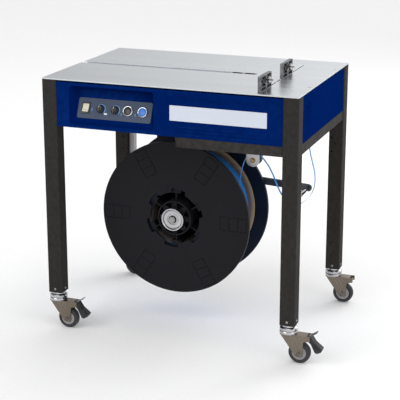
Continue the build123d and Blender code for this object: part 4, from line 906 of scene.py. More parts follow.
@dataclass
class Casing:
    """The blue covers, the plate between the ribs, and the tray under them."""

    shop: Workshop
    wall: float = 0.003
    lip: float = 0.004  # rounding of the recess's mouth
    corner: float = 0.011  # rounding of the recess's corners
    tilt: float = radians(23)
    mouth: tuple[float, float, float, float] = (-0.395, -0.092, 0.751, 0.878)
    seat_margin: float = 0.006
    seat_top: float = 0.864
    seat_behind: float = 0.002  # from the panel's front face back to the seat
    face_inset: float = 0.0012  # from the cover's foremost point back to its flat face
    edge_depth: float = 0.022  # how far the front cover's edges turn back
    rib_width: float = 0.005
    rib_height: float = 0.0024

    def build(self) -> None:
        """Builds the covers and the tray."""
        self.front_cover()
        self.ribs()
        for node in ("left_cover", "rear_cover", "right_cover"):
            self.shop.eased(node, 0.0009, whole=False)
        self.shop.eased("mechanism_tray", 0.0012)
        self.name_plate()
        self.inlet_pins()
        self.shop.eased("electrical_box", 0.0012)

    def panel_frame(self) -> Frame:
        """The control panel's front face. Returns: its plane."""
        up = Vector((0, sin(self.tilt), cos(self.tilt)))
        frame = Frame(middle_of("control_panel"), Vector((1, 0, 0)), up)
        return Frame(frame.at(0, 0, 0.001), frame.u, frame.v)

    def front_cover(self) -> None:
        """The front cover: its face, the recess with smooth walls, the seat and the edges turned back."""
        low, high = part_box("front_cover")
        front = low.y + self.face_inset
        x0, x1, z0, z1 = self.mouth
        centre = Vector(((x0 + x1) / 2, front, (z0 + z1) / 2))
        plane = facing_front(centre)
        width, height = x1 - x0, z1 - z0
        rings = []
        for share in (0.0, 0.3, 0.65, 1.0):
            angle = share * pi / 2
            grow = self.lip * (1 - sin(angle))
            back = self.lip * (1 - cos(angle))
            outline = rounded_box(width + 2 * grow, height + 2 * grow, self.corner + grow)
            rings.append([plane.at(u, v, -back) for u, v in outline])
        seat = self.seat_ring()
        for share in (0.45, 0.86, 0.95, 1.0):
            rings.append([a.lerp(b, share) for a, b in zip(rings[3], seat)])
        shape = Shape()
        shape.skin(rings, caps=False)
        outer = [Vector((x, front, z)) for x, z in
                 ((low.x, low.z), (high.x, low.z), (high.x, high.z), (low.x, high.z))]
        shape.filled(outer, [rings[0]])
        shape.filled(rings[-1], self.seat_holes())
        shape.skin([outer, [p + Vector((0, self.edge_depth, 0)) for p in outer]], caps=False)
        bmesh.ops.remove_doubles(shape.bm, verts=shape.bm.verts, dist=SAME_POINT)
        cover = self.shop.piece(shape, "front_cover_finished", Slot.COVER_BLUE, "frame",
                                replaces=["front_cover"])
        wall = cover.modifiers.new("wall", "SOLIDIFY")
        wall.thickness, wall.offset = self.wall, -1.0
        self.shop.round_edges(cover, 0.0008)

    def seat_ring(self) -> Ring:
        """The outline of the tilted seat, just behind the panel. Returns: its points."""
        frame = self.panel_frame()
        low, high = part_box("control_panel")
        half = (high.x - low.x) / 2 + self.seat_margin
        bottom = -(high.z - low.z) / 2 / cos(self.tilt) - self.seat_margin + 0.0004
        top = (self.seat_top - frame.origin.z) / cos(self.tilt)
        outline = rounded([(half, bottom, 0.009), (half, top, 0.009), (-half, top, 0.009),
                           (-half, bottom, 0.009)])
        return [frame.at(u, v, -self.seat_behind) for u, v in outline]

    def seat_holes(self) -> list[Ring]:
        """Holes in the seat, for the switch, the buttons and the dials. Returns: their points."""
        frame = self.panel_frame()
        holes = []
        for node, radius in (("tension_dial", 0.006), ("feed_dial", 0.006), ("stop_button", 0.016),
                             ("start_button", 0.016)):
            x = middle_of(node).x - frame.origin.x
            holes.append([frame.at(u, v, -self.seat_behind) for u, v in circle(radius, 32, x)])
        x = middle_of("rocker_switch").x - frame.origin.x
        opening = rounded_box(0.026, 0.034, 0.001, 2)
        holes.append([frame.at(x + u, v, -self.seat_behind) for u, v in opening])
        return holes

    def ribs(self) -> None:
        """The pressed lines above and below the plate, and the lip under the recess."""
        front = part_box("front_cover")[0].y + self.face_inset
        out = Vector((0, -1, 0))
        shape = Shape()
        for line in self.rib_lines():
            shape.ridge([Vector((x, front, z)) for x, z in line], out, self.rib_width, self.rib_height)
        x0, x1, z0, _ = self.mouth
        under = rounded([(x0 + 0.001, z0 + 0.009, 0.004), (x0 + 0.003, z0 - 0.005, 0.006),
                         (x1 - 0.002, z0 - 0.005, 0.001)])[3:-4]
        shape.ridge([Vector((x, front, z)) for x, z in under], out, 0.0035, 0.0012)
        self.shop.piece(shape, "cover_ribs", Slot.COVER_BLUE, "frame")

    @staticmethod
    def rib_lines() -> list[list[Flat]]:
        """The middle lines of the pressed ribs. Returns: the points of each, across and up."""
        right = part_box("name_plate")[1].x
        over_plate = [(-0.037, 0.881), (-0.013, 0.866), (right - 0.03, 0.866), (right - 0.015, 0.880)]
        lines = [rounded_path(over_plate)]
        for i, z in enumerate((0.7705, 0.758, 0.7455)):
            start = -0.007 - 0.009 * i
            end = 0.226 + 0.004 * i
            lines.append([(start, z), (start + 0.004, z), (end - 0.004, z), (end, z)])
            start, end = end + 0.011, 0.268 + 0.012 * i
            lines.append([(start, z), (start + 0.004, z), (end - 0.004, z), (end, z)])
        return lines

    def name_plate(self) -> None:
        """The blank plate, with a plain frame line pressed into it."""
        low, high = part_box("name_plate")
        centre = (low + high) / 2
        frame = facing_front(Vector((centre.x, high.y, centre.z)))
        width, height, thick = high.x - low.x, high.z - low.z, high.y - low.y
        shape, rings = Shape(), []
        steps = [(0.0, 0.0, 0.0015), (0.0, 0.7, 0.0015), (0.0008, 1.0, 0.0012), (0.006, 1.0, 0.001),
                 (0.0068, 0.75, 0.001)]
        for less, rise, corner in steps:
            outline = rounded_box(width - less, height - less, corner)
            rings.append([frame.at(u, v, thick * rise) for u, v in outline])
        shape.skin(rings)
        self.shop.piece(shape, "blank_plate", Slot.PLATE_WHITE, "frame", replaces=["name_plate"])

    def inlet_pins(self) -> None:
        """The three flat pins in the mains inlet."""
        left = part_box("electrical_box")[0].x
        centre = Vector((left, -0.15, 0.8))
        shape = Shape()
        for side, up in ((-1, -0.003), (0, 0.003), (1, -0.003)):
            middle = centre + Vector((0.009, side * 0.007, up))
            shape.block(middle - Vector((0.007, 0.001, 0.002)), middle + Vector((0.007, 0.001, 0.002)))
        self.shop.piece(shape, "inlet_pins", Slot.SCREW_STEEL, "frame", 0.0003)


def rounded_path(points: Sequence[Flat], radius: float = 0.004) -> list[Flat]:
    """An open line with small arcs at its inner corners.

    Args:
        points: the line's corners.
        radius: the arcs' radius.

    Returns:
        The line's points.
    """
    path = [points[0]]
    for before, here, after in zip(points, points[1:], points[2:]):
        path += rounded([(*before, 0.0001), (*here, radius), (*after, 0.0001)], 4)[5:10]
    return [*path, points[-1]]


# ---------------------------------------------------------------- table top
@dataclass
class TableTop:
    """The stainless plates, the strap channel and the package stops."""

    shop: Workshop
    edge: float = 0.0006
    knob_stem: float = 0.013  # from the stem's end to the knob's back

    def build(self) -> None:
        """Builds the plates, the channel and the stops."""
        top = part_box("front_table_plate")[1].z
        low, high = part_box("front_table_plate")
        inside = 0.001

        def outer(point: Vector) -> bool:
            """Tells whether an edge is on the table's top rim. Returns: True if it is."""
            rim = point.x < low.x + inside or point.x > high.x - inside or abs(point.y) > -low.y - inside
            return point.z > top - inside and rim

        for node in ("front_table_plate", "rear_table_plate"):
            self.shop.eased(node, self.edge, outer)
        self.shop.eased("strap_chute", 0.0003)
        for place in ("front", "rear"):
            self.shop.eased(f"{place}_package_stop", 0.0005, whole=False)
            self.knob(place)
            self.stop_rivets(place)

    def knob(self, place: str) -> None:
        """A stop's star knob on its threaded stem.

        Args:
            place: which stop it is on.
        """
        node = f"{place}_stop_knob"
        low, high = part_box(node)
        centre = (low + high) / 2
        face = low.x + self.knob_stem
        frame = Frame(Vector((face, centre.y, centre.z)), Vector((0, 1, 0)), Vector((0, 0, 1)))
        shape = Shape()
        shape.domed(wavy(0.0085, 0.0118, 5, 1.2, 80), frame,
                    [(0.0, 0.9), (0.0008, 1.0), (0.0048, 1.0), (0.006, 0.88), (0.006, 0.5), (0.0072, 0.42),
                     (0.0074, 0.3)])
        thread = [(-self.knob_stem + 0.0006, 0.0026), (-0.002, 0.003), (0.007, 0.003)]
        for i in range(12):
            thread += [(0.0078 + 0.0007 * i, 0.0030), (0.0078 + 0.0007 * i + 0.00035, 0.0026)]
        shape.turned([*thread, (0.0168, 0.0022)], frame.origin, Axis.X, 20)
        self.shop.piece(shape, f"{place}_star_knob", Slot.SCREW_STEEL, node, replaces=[node])

    def stop_rivets(self, place: str) -> None:
        """Two bright screws in a stop's cells, which hold its steel key.

        Args:
            place: which stop they are on.
        """
        node = f"{place}_package_stop"
        low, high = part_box(node)
        centre = (low + high) / 2
        shape = Shape()
        for side in (-1, 1):
            head = Vector((centre.x - 0.0055, centre.y + side * 0.0165, high.z - 0.0445))
            shape.turned([(-0.0004, 0.0001), (-0.0004, 0.0018), (0.0002, 0.0026), (0.002, 0.0026)], head,
                         Axis.X, 18)
        self.shop.piece(shape, f"{place}_stop_screws", Slot.SCREW_STEEL, f"{place}_stop")


# ---------------------------------------------------------------- controls
@dataclass
class ControlPanel:
    """The grey panel with its rocker, dials and buttons."""

    shop: Workshop
    casing: Casing
    dial_radius: float = 0.014
    button_radius: float = 0.014
    scale_start: float = 135.0  # degrees, from the right and anticlockwise
    scale_sweep: float = 175.0  # degrees, clockwise
    rocker_lean: float = radians(9)

    def build(self) -> None:
        """Builds the panel and what is on it."""
        self.frame = self.casing.panel_frame()
        self.shop.eased("control_panel", 0.0005)
        for name in ("tension", "feed"):
            self.dial(f"{name}_dial")
            self.scale(f"{name}_dial")
        self.button("stop_button", Slot.CONTROL_BLACK)
        self.button("start_button", Slot.BUTTON_BLUE)
        self.rocker()
        self.bezels()
        self.labels()

    def across(self, node: str) -> float:
        """Where a control is along the panel. Returns: its distance from the panel's middle."""
        return middle_of(node).x - self.frame.origin.x

    def dial(self, node: str) -> None:
        """A glossy knob with a fluted skirt, a domed cap and a pointer fin.

        Args:
            node: the dial's node.
        """
        frame = self.frame.shifted(self.across(node))
        r = self.dial_radius
        shape = Shape()
        shape.domed(wavy(r * 0.965, r, 24, 1.0, 192), frame,
                    [(0.0005, 0.96), (0.001, 1.0), (0.0065, 0.97), (0.0085, 0.9), (0.0095, 0.8)])
        shape.domed(circle(r * 0.8, 48), frame,
                    [(0.008, 1.0), (0.0115, 0.97), (0.0127, 0.9), (0.0134, 0.7), (0.0136, 0.4)])
        fin = rounded_box(0.0052, 2 * r - 0.004, 0.0024)
        shape.domed(fin, frame, [(0.009, 1.0), (0.0148, 0.97), (0.0158, 0.88), (0.016, 0.7)])
        self.shop.piece(shape, f"{node}_knob", Slot.CONTROL_BLACK, node, replaces=[node])
        mark = Shape()
        mark.prism(rounded_box(0.0012, 0.006, 0.0005, 3), frame.shifted(0, r - 0.008), 0.0159, 0.01605)
        self.shop.piece(mark, f"{node}_pointer_line", Slot.CONTROL_BLACK, node, ink="label_ink")

    def scale(self, node: str) -> None:
        """The printed crescent round a dial, which widens clockwise.

        Args:
            node: the dial's node.
        """
        frame = self.frame.shifted(self.across(node))
        inner = self.dial_radius + 0.0014
        outline: list[Flat] = []
        steps = 28
        for k in range(steps + 1):
            angle = radians(self.scale_start - self.scale_sweep * k / steps)
            grow = 0.0008 + 0.0028 * k / steps
            outline.append(((inner + grow) * cos(angle), (inner + grow) * sin(angle)))
        for k in range(steps, -1, -1):
            angle = radians(self.scale_start - self.scale_sweep * k / steps)
            outline.append((inner * cos(angle), inner * sin(angle)))
        shape = Shape().prism(outline, frame, 0.0, 0.00015)
        self.shop.piece(shape, f"{node}_scale", Slot.PANEL_GREY, "frame", ink="scale_ink")

    def labels(self) -> None:
        """Small blank labels beside the controls."""
        shape = Shape()
        for x, z, w, h in ((-0.082, -0.004, 0.0022, 0.010), (0.0262, -0.012, 0.0022, 0.009),
                           (0.0765, -0.011, 0.0022, 0.009)):
            shape.prism(rounded_box(w, h, 0.0006, 3), self.frame.shifted(x, z), 0.0, 0.0002)
        self.shop.piece(shape, "blue_labels", Slot.PANEL_GREY, "frame", ink="scale_ink")
        white = Shape().prism(rounded_box(0.011, 0.0055, 0.0006, 3), self.frame.shifted(-0.031, -0.0155),
                              0.0, 0.0002)
        self.shop.piece(white, "white_label", Slot.PANEL_GREY, "frame", ink="label_ink")

    def button(self, node: str, slot: Slot) -> None:
        """A push button with a slightly dished cap.

        Args:
            node: the button's node.
            slot: its finish.
        """
        frame = self.frame.shifted(self.across(node))
        steps = [(-0.008, 0.96), (-0.0075, 1.0), (0.0052, 1.0), (0.0059, 0.96), (0.0059, 0.85),
                 (0.0053, 0.78), (0.0051, 0.4)]
        shape = Shape().domed(circle(self.button_radius, 64), frame, steps)
        self.shop.piece(shape, f"{node}_cap", slot, node, replaces=[node])

    def rocker(self) -> None:
        """The rocker with its two ribbed ends, stored as its node lies."""
        self.shop.eased("rocker_switch", 0.0006)
        across = self.across("rocker_switch")
        up = self.frame.v * cos(self.rocker_lean) - self.frame.normal * sin(self.rocker_lean)
        tilted = Frame(self.frame.at(across, 0, 0.001), self.frame.u, up)
        shape = Shape()
        for end in (-1, 1):
            for k in range(3):
                v = end * (0.0055 + 0.0028 * k)
                height = 0.0016 + 0.0019 * abs(v) / 0.0145
                line = [tilted.at(u, v, height) for u in (-0.007, -0.006, 0.006, 0.007)]
                shape.ridge(line, tilted.normal, 0.0011, 0.0005)
        self.shop.piece(shape, "rocker_ribs", Slot.ROCKER_CREAM, "rocker")

    def bezels(self) -> None:
        """The rocker's black frame and the buttons' polished rings."""
        rings = Shape()
        r = self.button_radius + 0.0004
        for node in ("stop_button", "start_button"):
            frame = self.frame.shifted(self.across(node))
            profile = [(r, 0.0), (0.018, 0.0), (0.018, 0.0025), (0.0172, 0.0052), (0.016, 0.0068),
                       (0.0148, 0.007), (r, 0.0064)]
            rings.skin([[frame.at(u, v, out) for u, v in circle(radius, 64)] for radius, out in profile],
                       loop=True)
        self.shop.piece(rings, "button_rings", Slot.BEZEL_CHROME, "frame", replaces=["control_bezels"])
        frame = self.frame.shifted(self.across("rocker_switch"))
        profile = [(0.0228, 0.0308, 0.0), (0.031, 0.039, 0.0), (0.031, 0.039, 0.0018),
                   (0.0295, 0.0375, 0.003), (0.0245, 0.0325, 0.003), (0.0228, 0.0308, 0.0024)]
        shape = Shape()
        shape.skin([[frame.at(u, v, out) for u, v in rounded_box(w, h, 0.0012, 3)] for w, h, out in profile],
                   loop=True)
        self.shop.piece(shape, "rocker_frame", Slot.CONTROL_BLACK, "frame")


# ---------------------------------------------------------------- reel
@dataclass
class StrapReel:
    """The reel with its coil of strap, and the stand that carries it."""

    shop: Workshop
    wraps: int = 16
    wrap_seed: int = 11
    ring_inner: float = 0.1
    ring_outer: float = 0.112

    def build(self) -> None:
        """Builds the flanges, the hub, the coil and the lock nut."""
        self.axis = middle_of("front_flange")
        self.shop.eased("front_flange", 0.0008)
        self.shop.eased("rear_flange", 0.001)
        self.shop.eased("reel_hub", 0.0008)
        self.shop.eased("side_board", 0.0004)
        self.shop.eased("coil_core", 0.0004)
        self.shop.eased("reel_stand", 0.0008)
        self.coil()
        self.hand_wheel()
        self.lock_nut()

    def on_axis(self, y: float) -> Vector:
        """A point of the reel's axis. Returns: the point at that depth."""
        return Vector((self.axis.x, y, self.axis.z))

    def coil(self) -> None:
        """The wound strap: wraps side by side, each lying a little higher or lower than the next."""
        low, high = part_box("strap_coil")
        outer = (high.x - low.x) / 2
        inner = (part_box("coil_core")[1].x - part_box("coil_core")[0].x) / 2 + 0.0002
        pitch = (high.y - low.y) / self.wraps
        draw = Random(self.wrap_seed)
        profile = [(low.y, inner), (low.y, outer - 0.0015)]
        for i in range(self.wraps):
            y = low.y + i * pitch
            radius = outer - 0.0002 - 0.0009 * draw.random()
            profile += [(y + 0.0003, radius - 0.0006), (y + 0.0007, radius), (y + pitch - 0.0007, radius),
                        (y + pitch - 0.0003, radius - 0.0006)]
        profile += [(high.y, outer - 0.0015), (high.y, inner)]
        shape = Shape().turned(profile, self.on_axis(0.0), Axis.Y, 180, loop=True)
        self.shop.piece(shape, "strap_coil_wound", Slot.STRAP_BLUE, "reel", replaces=["strap_coil"])
        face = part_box("coil_core")[0].y
        ring = Shape().turned([(face - 0.0003, self.ring_inner), (face - 0.0003, self.ring_outer),
                               (face, self.ring_outer), (face, self.ring_inner)], self.on_axis(0.0),
                              Axis.Y, 96, loop=True)
        self.shop.piece(ring, "core_end_ring", Slot.REAR_FLANGE_PLASTIC, "reel")

    def hand_wheel(self) -> None:
        """The lobed clamping wheel in the hub's mouth."""
        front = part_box("reel_hub")[0].y
        frame = facing_front(self.on_axis(front))
        shape = Shape()
        outline = wavy(0.0385, 0.0555, 8, 2.2, 240)
        shape.domed(outline, frame, [(-0.0075, 0.99), (-0.0020, 1.0), (-0.0008, 0.975), (-0.0005, 0.9),
                                     (-0.0012, 0.8), (-0.0012, 0.45)])
        self.shop.piece(shape, "hub_hand_wheel", Slot.REEL_PLASTIC, "reel")
        ring = Shape().turned([(front - 0.0002, 0.0582), (front - 0.0002, 0.0618), (front + 0.0035, 0.0622),
                               (front + 0.0035, 0.0578)], self.on_axis(0.0), Axis.Y, 96, loop=True)
        self.shop.piece(ring, "hub_mouth_ring", Slot.REEL_PLASTIC, "reel")

    def lock_nut(self) -> None:
        """The polished dished washer, its inner ring, the nut and the shaft's end."""
        low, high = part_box("reel_lock_nut")
        outer = (high.x - low.x) / 2
        back = high.y
        shape = Shape()
        shape.turned([(back, 0.0145), (back, outer - 0.001), (back - 0.001, outer), (back - 0.0075, outer),
                      (back - 0.009, outer - 0.0012), (back - 0.009, outer - 0.0045),
                      (back - 0.0078, outer - 0.0058), (back - 0.0035, outer - 0.0085),
                      (back - 0.0026, outer - 0.012), (back - 0.0024, 0.024), (back - 0.003, 0.0145)],
                     self.on_axis(0.0), Axis.Y, 96, loop=True)
        shape.turned([(back - 0.002, 0.0175), (back - 0.002, 0.0212), (back - 0.0052, 0.021),
                      (back - 0.006, 0.020), (back - 0.006, 0.0186), (back - 0.0052, 0.0178)],
                     self.on_axis(0.0), Axis.Y, 72, loop=True)
        self.shop.piece(shape, "dished_washer", Slot.RACE_CHROME, "frame", replaces=["reel_lock_nut"])
        nut = Shape()
        frame = facing_front(self.on_axis(back))
        hexagon = circle(0.0125, 6)
        nut.domed(hexagon, frame, [(0.002, 1.0), (0.0098, 1.0), (0.0112, 0.93), (0.0113, 0.7)])
        nut.turned([(back - 0.0105, 0.0085), (back - 0.0122, 0.0085), (back - 0.013, 0.0072)],
                   self.on_axis(0.0), Axis.Y, 32)
        self.shop.piece(nut, "shaft_nut", Slot.SCREW_STEEL, "frame", 0.0004)


# ---------------------------------------------------------------- strap run
@dataclass
class StrapRun:
    """The loose strap, the roller that it runs over and the arm that lies in its loop."""

    shop: Workshop
    route: tuple[Flat, ...] = (
        (0.108, 0.390), (0.1072, 0.425), (0.1052, 0.461), (0.1045, 0.497), (0.1065, 0.530),
        (0.112, 0.562), (0.121, 0.592), (0.135, 0.616), (0.157, 0.626), (0.178, 0.615),
        (0.195, 0.598), (0.211, 0.577), (0.225, 0.551), (0.238, 0.520), (0.251, 0.491),
        (0.271, 0.464), (0.300, 0.448), (0.328, 0.455), (0.353, 0.476), (0.370, 0.504),
        (0.377, 0.537), (0.375, 0.572), (0.366, 0.606), (0.357, 0.639), (0.352, 0.672),
        (0.350, 0.706),
    )
    width: float = 0.012
    thick: float = 0.0008
    length: float = 0.786

    def build(self) -> None:
        """Builds the strap, the roller, its bracket and the arm."""
        self.strap()
        self.guide()
        self.shop.eased("dancer_arm", 0.0012)
        self.shop.eased("brake_shoe", 0.001)
        self.arm_sleeve()

    def line(self) -> list[Vector]:
        """The strap's smooth middle line.

        Returns:
            Points along a spline that has the route's points as its control points.
        """
        curve = bpy.data.curves.new("strap_line", "CURVE")
        curve.dimensions = "3D"
        spline = curve.splines.new("NURBS")
        spline.points.add(len(self.route) - 1)
        for point, (x, z) in zip(spline.points, self.route):
            point.co = (x, 0.0, z, 1.0)
        spline.order_u = 3
        spline.use_endpoint_u = True
        spline.resolution_u = 8
        holder = bpy.data.objects.new("strap_line", curve)
        mesh = bpy.data.meshes.new_from_object(holder)
        points = [vert.co.copy() for vert in mesh.vertices]
        bpy.data.objects.remove(holder)
        bpy.data.meshes.remove(mesh)
        bpy.data.curves.remove(curve)
        return points

    def strap(self) -> None:
        """The flat strap, a thin band along its line."""
        points = self.line()
        across = Vector((0, 1, 0))
        w, t, round_off = self.width / 2, self.thick / 2, self.thick / 4
        section = [(w - round_off, -t), (w, -t + round_off), (w, t - round_off), (w - round_off, t),
                   (-w + round_off, t), (-w, t - round_off), (-w, -t + round_off), (-w + round_off, -t)]
        rings = []
        for i, point in enumerate(points):
            onward = (points[min(i + 1, len(points) - 1)] - points[max(i - 1, 0)]).normalized()
            up = onward.cross(across)
            rings.append([point + across * a + up * b for a, b in section])
        shape = Shape().skin(rings)
        band = self.shop.piece(shape, "strap_band_loose", Slot.STRAP_BLUE, "frame", replaces=["strap_band"])

    def guide(self) -> None:
        """The bracket, the roller with its raised ends and the brass bolt."""
        self.shop.eased("guide_bracket", 0.0007)
        centre = middle_of("guide_roller")
        half = 0.0168
        bore = 0.0042
        profile = [(-half, bore), (-half, 0.0215), (-half + 0.0007, 0.022), (-0.0115, 0.022),
                   (-0.0102, 0.0212), (-0.0098, 0.0191), (0.0098, 0.0191), (0.0102, 0.0212),
                   (0.0115, 0.022), (half - 0.0007, 0.022), (half, 0.0215), (half, bore)]
        roller = Shape().turned(profile, centre, Axis.Y, 72, loop=True)
        self.shop.piece(roller, "grooved_roller", Slot.ROLLER_PLASTIC, "guide_roller",
                        replaces=["guide_roller"])
        low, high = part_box("guide_bolt")
        bolt = Shape()
        bolt.turned([(low.y + 0.003, 0.004), (high.y, 0.004)], Vector((centre.x, 0, centre.z)), Axis.Y, 24)
        frame = facing_front(Vector((centre.x, low.y + 0.006, centre.z)))
        bolt.domed(circle(0.0078, 6), frame, [(0.0, 1.0), (0.0048, 1.0), (0.0058, 0.92), (0.006, 0.7)])
        bolt.turned([(low.y + 0.0055, 0.0042), (low.y + 0.0055, 0.0098), (low.y + 0.0062, 0.0098)],
                    Vector((centre.x, 0, centre.z)), Axis.Y, 32)
        back = Frame(Vector((centre.x, high.y - 0.0055, centre.z)), Vector((-1, 0, 0)), Vector((0, 0, 1)))
        bolt.domed(circle(0.0078, 6), back, [(-0.0068, 0.92), (-0.006, 1.0), (-0.0012, 1.0), (0.0, 0.92)])
        self.shop.piece(bolt, "brass_bolt", Slot.BOLT_BRASS, "frame", 0.0003, ["guide_bolt"])

    def arm_sleeve(self) -> None:
        """The bright sleeve on the arm's rod, which the strap lies round."""
        low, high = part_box("dancer_arm")
        centre = Vector((high.x - 0.0135, 0.0, low.z + 0.0135))
        back = high.y - 0.0105
        profile = [(low.y + 0.001, 0.0062), (low.y + 0.001, 0.0070), (low.y + 0.0018, 0.0076),
                   (high.y - 0.012, 0.0076), (back, 0.0070), (back, 0.0062)]
        shape = Shape().turned(profile, centre, Axis.Y, 40, loop=True)
        self.shop.piece(shape, "arm_rod_sleeve", Slot.RACE_CHROME, "dancer")


# ---------------------------------------------------------------- castors
@dataclass
class Castor:
    """One swivel castor: its race, fork, wheel and, at the front, its brake pedal."""

    shop: Workshop
    corner: str
    trail: float = 0.039
    wheel_radius: float = 0.0375
    half_wheel: float = 0.013
    cheek: float = 0.018  # outer face of the fork's cheeks from the middle
    race_radius: float = 0.031
    balls: int = 20
    ball_radius: float = 0.0016
    ball_circle: float = 0.0272  # radius of the circle that the balls lie on
    flute_top: float = 0.094
    flute_foot: float = 0.055
    pedal_pivot: Flat = (0.071, 0.093)  # across from the castor's axis, and up

    def build(self) -> None:
        """Builds the castor."""
        leg = middle_of(f"leg_{self.corner}")
        self.axis = Vector((leg.x, leg.y, 0.0))
        self.hub = self.axis + Vector((self.trail, 0, self.wheel_radius))
        self.race()
        self.fork()
        self.wheel()
        if self.corner.startswith("front"):
            self.pedal()

    def race(self) -> None:
        """The polished double race under the leg."""
        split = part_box(f"caster_fork_{self.corner}")[1].z
        leg_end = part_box(f"leg_{self.corner}")[0].z
        outer = self.race_radius
        shape = Shape()
        cup = [(split + 0.0004, 0.012), (split + 0.0004, outer - 0.002), (split + 0.0012, outer - 0.0003),
               (split + 0.0035, outer), (split + 0.008, outer - 0.0008), (split + 0.0112, outer - 0.004),
               (split + 0.0128, outer - 0.008), (leg_end - 0.0004, 0.0215), (leg_end - 0.0004, 0.012)]
        shape.turned(cup, self.axis, Axis.Z, 64, loop=True)
        self.shop.piece(shape, f"race_cup_{self.corner}", Slot.RACE_CHROME, "frame",
                        replaces=["caster_mounts"])
        ring = Shape()
        base = split - 0.0116
        bead = [(base, 0.026), (base + 0.0004, outer - 0.0015), (base + 0.003, outer),
                (base + 0.0078, outer - 0.0004), (base + 0.0102, outer - 0.0022),
                (base + 0.0108, outer - 0.006), (base + 0.0108, 0.026)]
        ring.turned(bead, self.axis, Axis.Z, 64, loop=True)
        self.shop.piece(ring, f"race_ring_{self.corner}", Slot.RACE_CHROME, f"fork_{self.corner}")
        balls = Shape()
        for k in range(self.balls):
            angle = 2 * pi * k / self.balls
            aside = Vector((cos(angle) * self.ball_circle, sin(angle) * self.ball_circle, split))
            profile = [(self.ball_radius * sin(a), self.ball_radius * cos(a))
                       for a in (-1.35, -0.9, -0.45, 0, 0.45, 0.9, 1.35)]
            balls.turned(profile, self.axis + aside, Axis.Z, 12)
        self.shop.piece(balls, f"race_balls_{self.corner}", Slot.SCREW_STEEL, f"fork_{self.corner}")

    def fork(self) -> None:
        """The pressed fork, with its flutes and the axle's nuts."""
        body = f"fork_{self.corner}"
        self.shop.eased(f"caster_fork_{self.corner}", 0.0008)
        flutes = Shape()
        nuts = Shape()
        for side in (-1, 1):
            out = Vector((0, side, 0))
            face = self.axis + out * self.cheek
            for top_x, foot_x in ((0.004, 0.030), (0.019, 0.041)):
                top = face + Vector((top_x, 0, self.flute_top))
                foot = face + Vector((foot_x, 0, self.flute_foot))
                flutes.ridge([top.lerp(foot, s) for s in (0, 0.08, 0.2, 0.8, 0.92, 1.0)], out, 0.0075, 0.0016)
            across = Vector((-side, 0, 0))
            frame = Frame(self.hub + out * self.cheek, across, Vector((0, 0, 1)))
            flip = 1 if frame.normal.dot(out) > 0 else -1
            nuts.domed(circle(0.0088, 40), frame, [(0.0, 1.0), (flip * 0.001, 1.0), (flip * 0.0012, 0.95)])
            nuts.domed(circle(0.0074, 6), frame, [(0.0, 1.0), (flip * 0.0042, 1.0), (flip * 0.0050, 0.9)])
            nuts.domed(circle(0.0038, 24), frame, [(0.0, 1.0), (flip * 0.0048, 1.0), (flip * 0.0052, 0.8)])
        self.shop.piece(flutes, f"fork_flutes_{self.corner}", Slot.FORK_ZINC, body)
        self.shop.piece(nuts, f"axle_nuts_{self.corner}", Slot.SCREW_STEEL, body, 0.0003)

    def wheel(self) -> None:
        """The rubber tyre, and the hub with its raised rings."""
        node = f"caster_wheel_{self.corner}"
        body = f"wheel_{self.corner}"
        r, w = self.wheel_radius, self.half_wheel
        profile = [(-w + 0.0008, 0.0244), (-w, 0.0262), (-w, 0.0300), (-w + 0.0006, 0.0325),
                   (-w + 0.0024, 0.0352), (-w + 0.0052, 0.0369), (-w + 0.009, r), (w - 0.009, r),
                   (w - 0.0052, 0.0369), (w - 0.0024, 0.0352), (w - 0.0006, 0.0325), (w, 0.0300),
                   (w, 0.0262), (w - 0.0008, 0.0244)]
        tyre = Shape().turned(profile, self.hub, Axis.Y, 96, loop=True)
        self.shop.piece(tyre, f"tyre_{self.corner}", Slot.WHEEL_RUBBER, body, replaces=[node])
        profile = []
        for side in (-1, 1):
            face = [(0.0115, 0.0042), (0.0115, 0.0085), (0.0072, 0.0102), (0.0066, 0.0132), (0.0098, 0.0148),
                    (0.0104, 0.0158), (0.0098, 0.0168), (0.0088, 0.0192), (0.0106, 0.0204), (0.0112, 0.0216),
                    (0.0112, 0.0242)]
            profile += [(side * y, radius) for y, radius in (face if side < 0 else face[::-1])]
        hub = Shape().turned(profile, self.hub, Axis.Y, 72, loop=True)
        self.shop.piece(hub, f"wheel_hub_{self.corner}", Slot.DUCT_GREY, body)

    def pedal(self) -> None:
        """The brake pedal: rubber pad, its steel leaf and the bright lift tab."""
        node = f"brake_pedal_{self.corner}"
        body = f"pedal_{self.corner}"
        self.shop.eased(node, 0.0012)
        px, pz = self.axis.x + self.pedal_pivot[0], self.pedal_pivot[1]
        out = Vector((0, -1, 0))
        knobs = Shape()
        foot = Vector((px + 0.022, self.axis.y, pz - 0.014))
        tip = Vector((px + 0.047, self.axis.y, pz - 0.033))
        slope = (tip - foot).normalized()
        normal = out.cross(slope)
        normal = normal if normal.z > 0 else -normal
        for row in range(4):
            centre = foot.lerp(tip, 0.18 + 0.2 * row)
            line = [centre + Vector((0, y, 0)) for y in (-0.0095, -0.0085, 0.0085, 0.0095)]
            knobs.ridge(line, normal, 0.0032, 0.0014)
        self.shop.piece(knobs, f"pedal_grips_{self.corner}", Slot.PEDAL_RUBBER, body)
        leaf = Shape()
        rise = [(px + 0.002, pz + 0.0078), (px + 0.0075, pz + 0.0082), (px + 0.028, pz + 0.0222),
                (px + 0.0278, pz + 0.0235), (px + 0.0068, pz + 0.0094), (px + 0.002, pz + 0.009)]
        frame = Frame(Vector((0, self.axis.y, 0)), Vector((1, 0, 0)), Vector((0, 0, 1)))
        leaf.prism(rise, frame, -0.0115, 0.0115)
        under = [(px - 0.0046, pz - 0.008), (px + 0.0084, pz - 0.0184), (px + 0.0236, pz - 0.0484),
                 (px + 0.0226, pz - 0.0488), (px + 0.0072, pz - 0.019), (px - 0.0052, pz - 0.0086)]
        leaf.prism(under, frame, -0.0125, 0.0125)
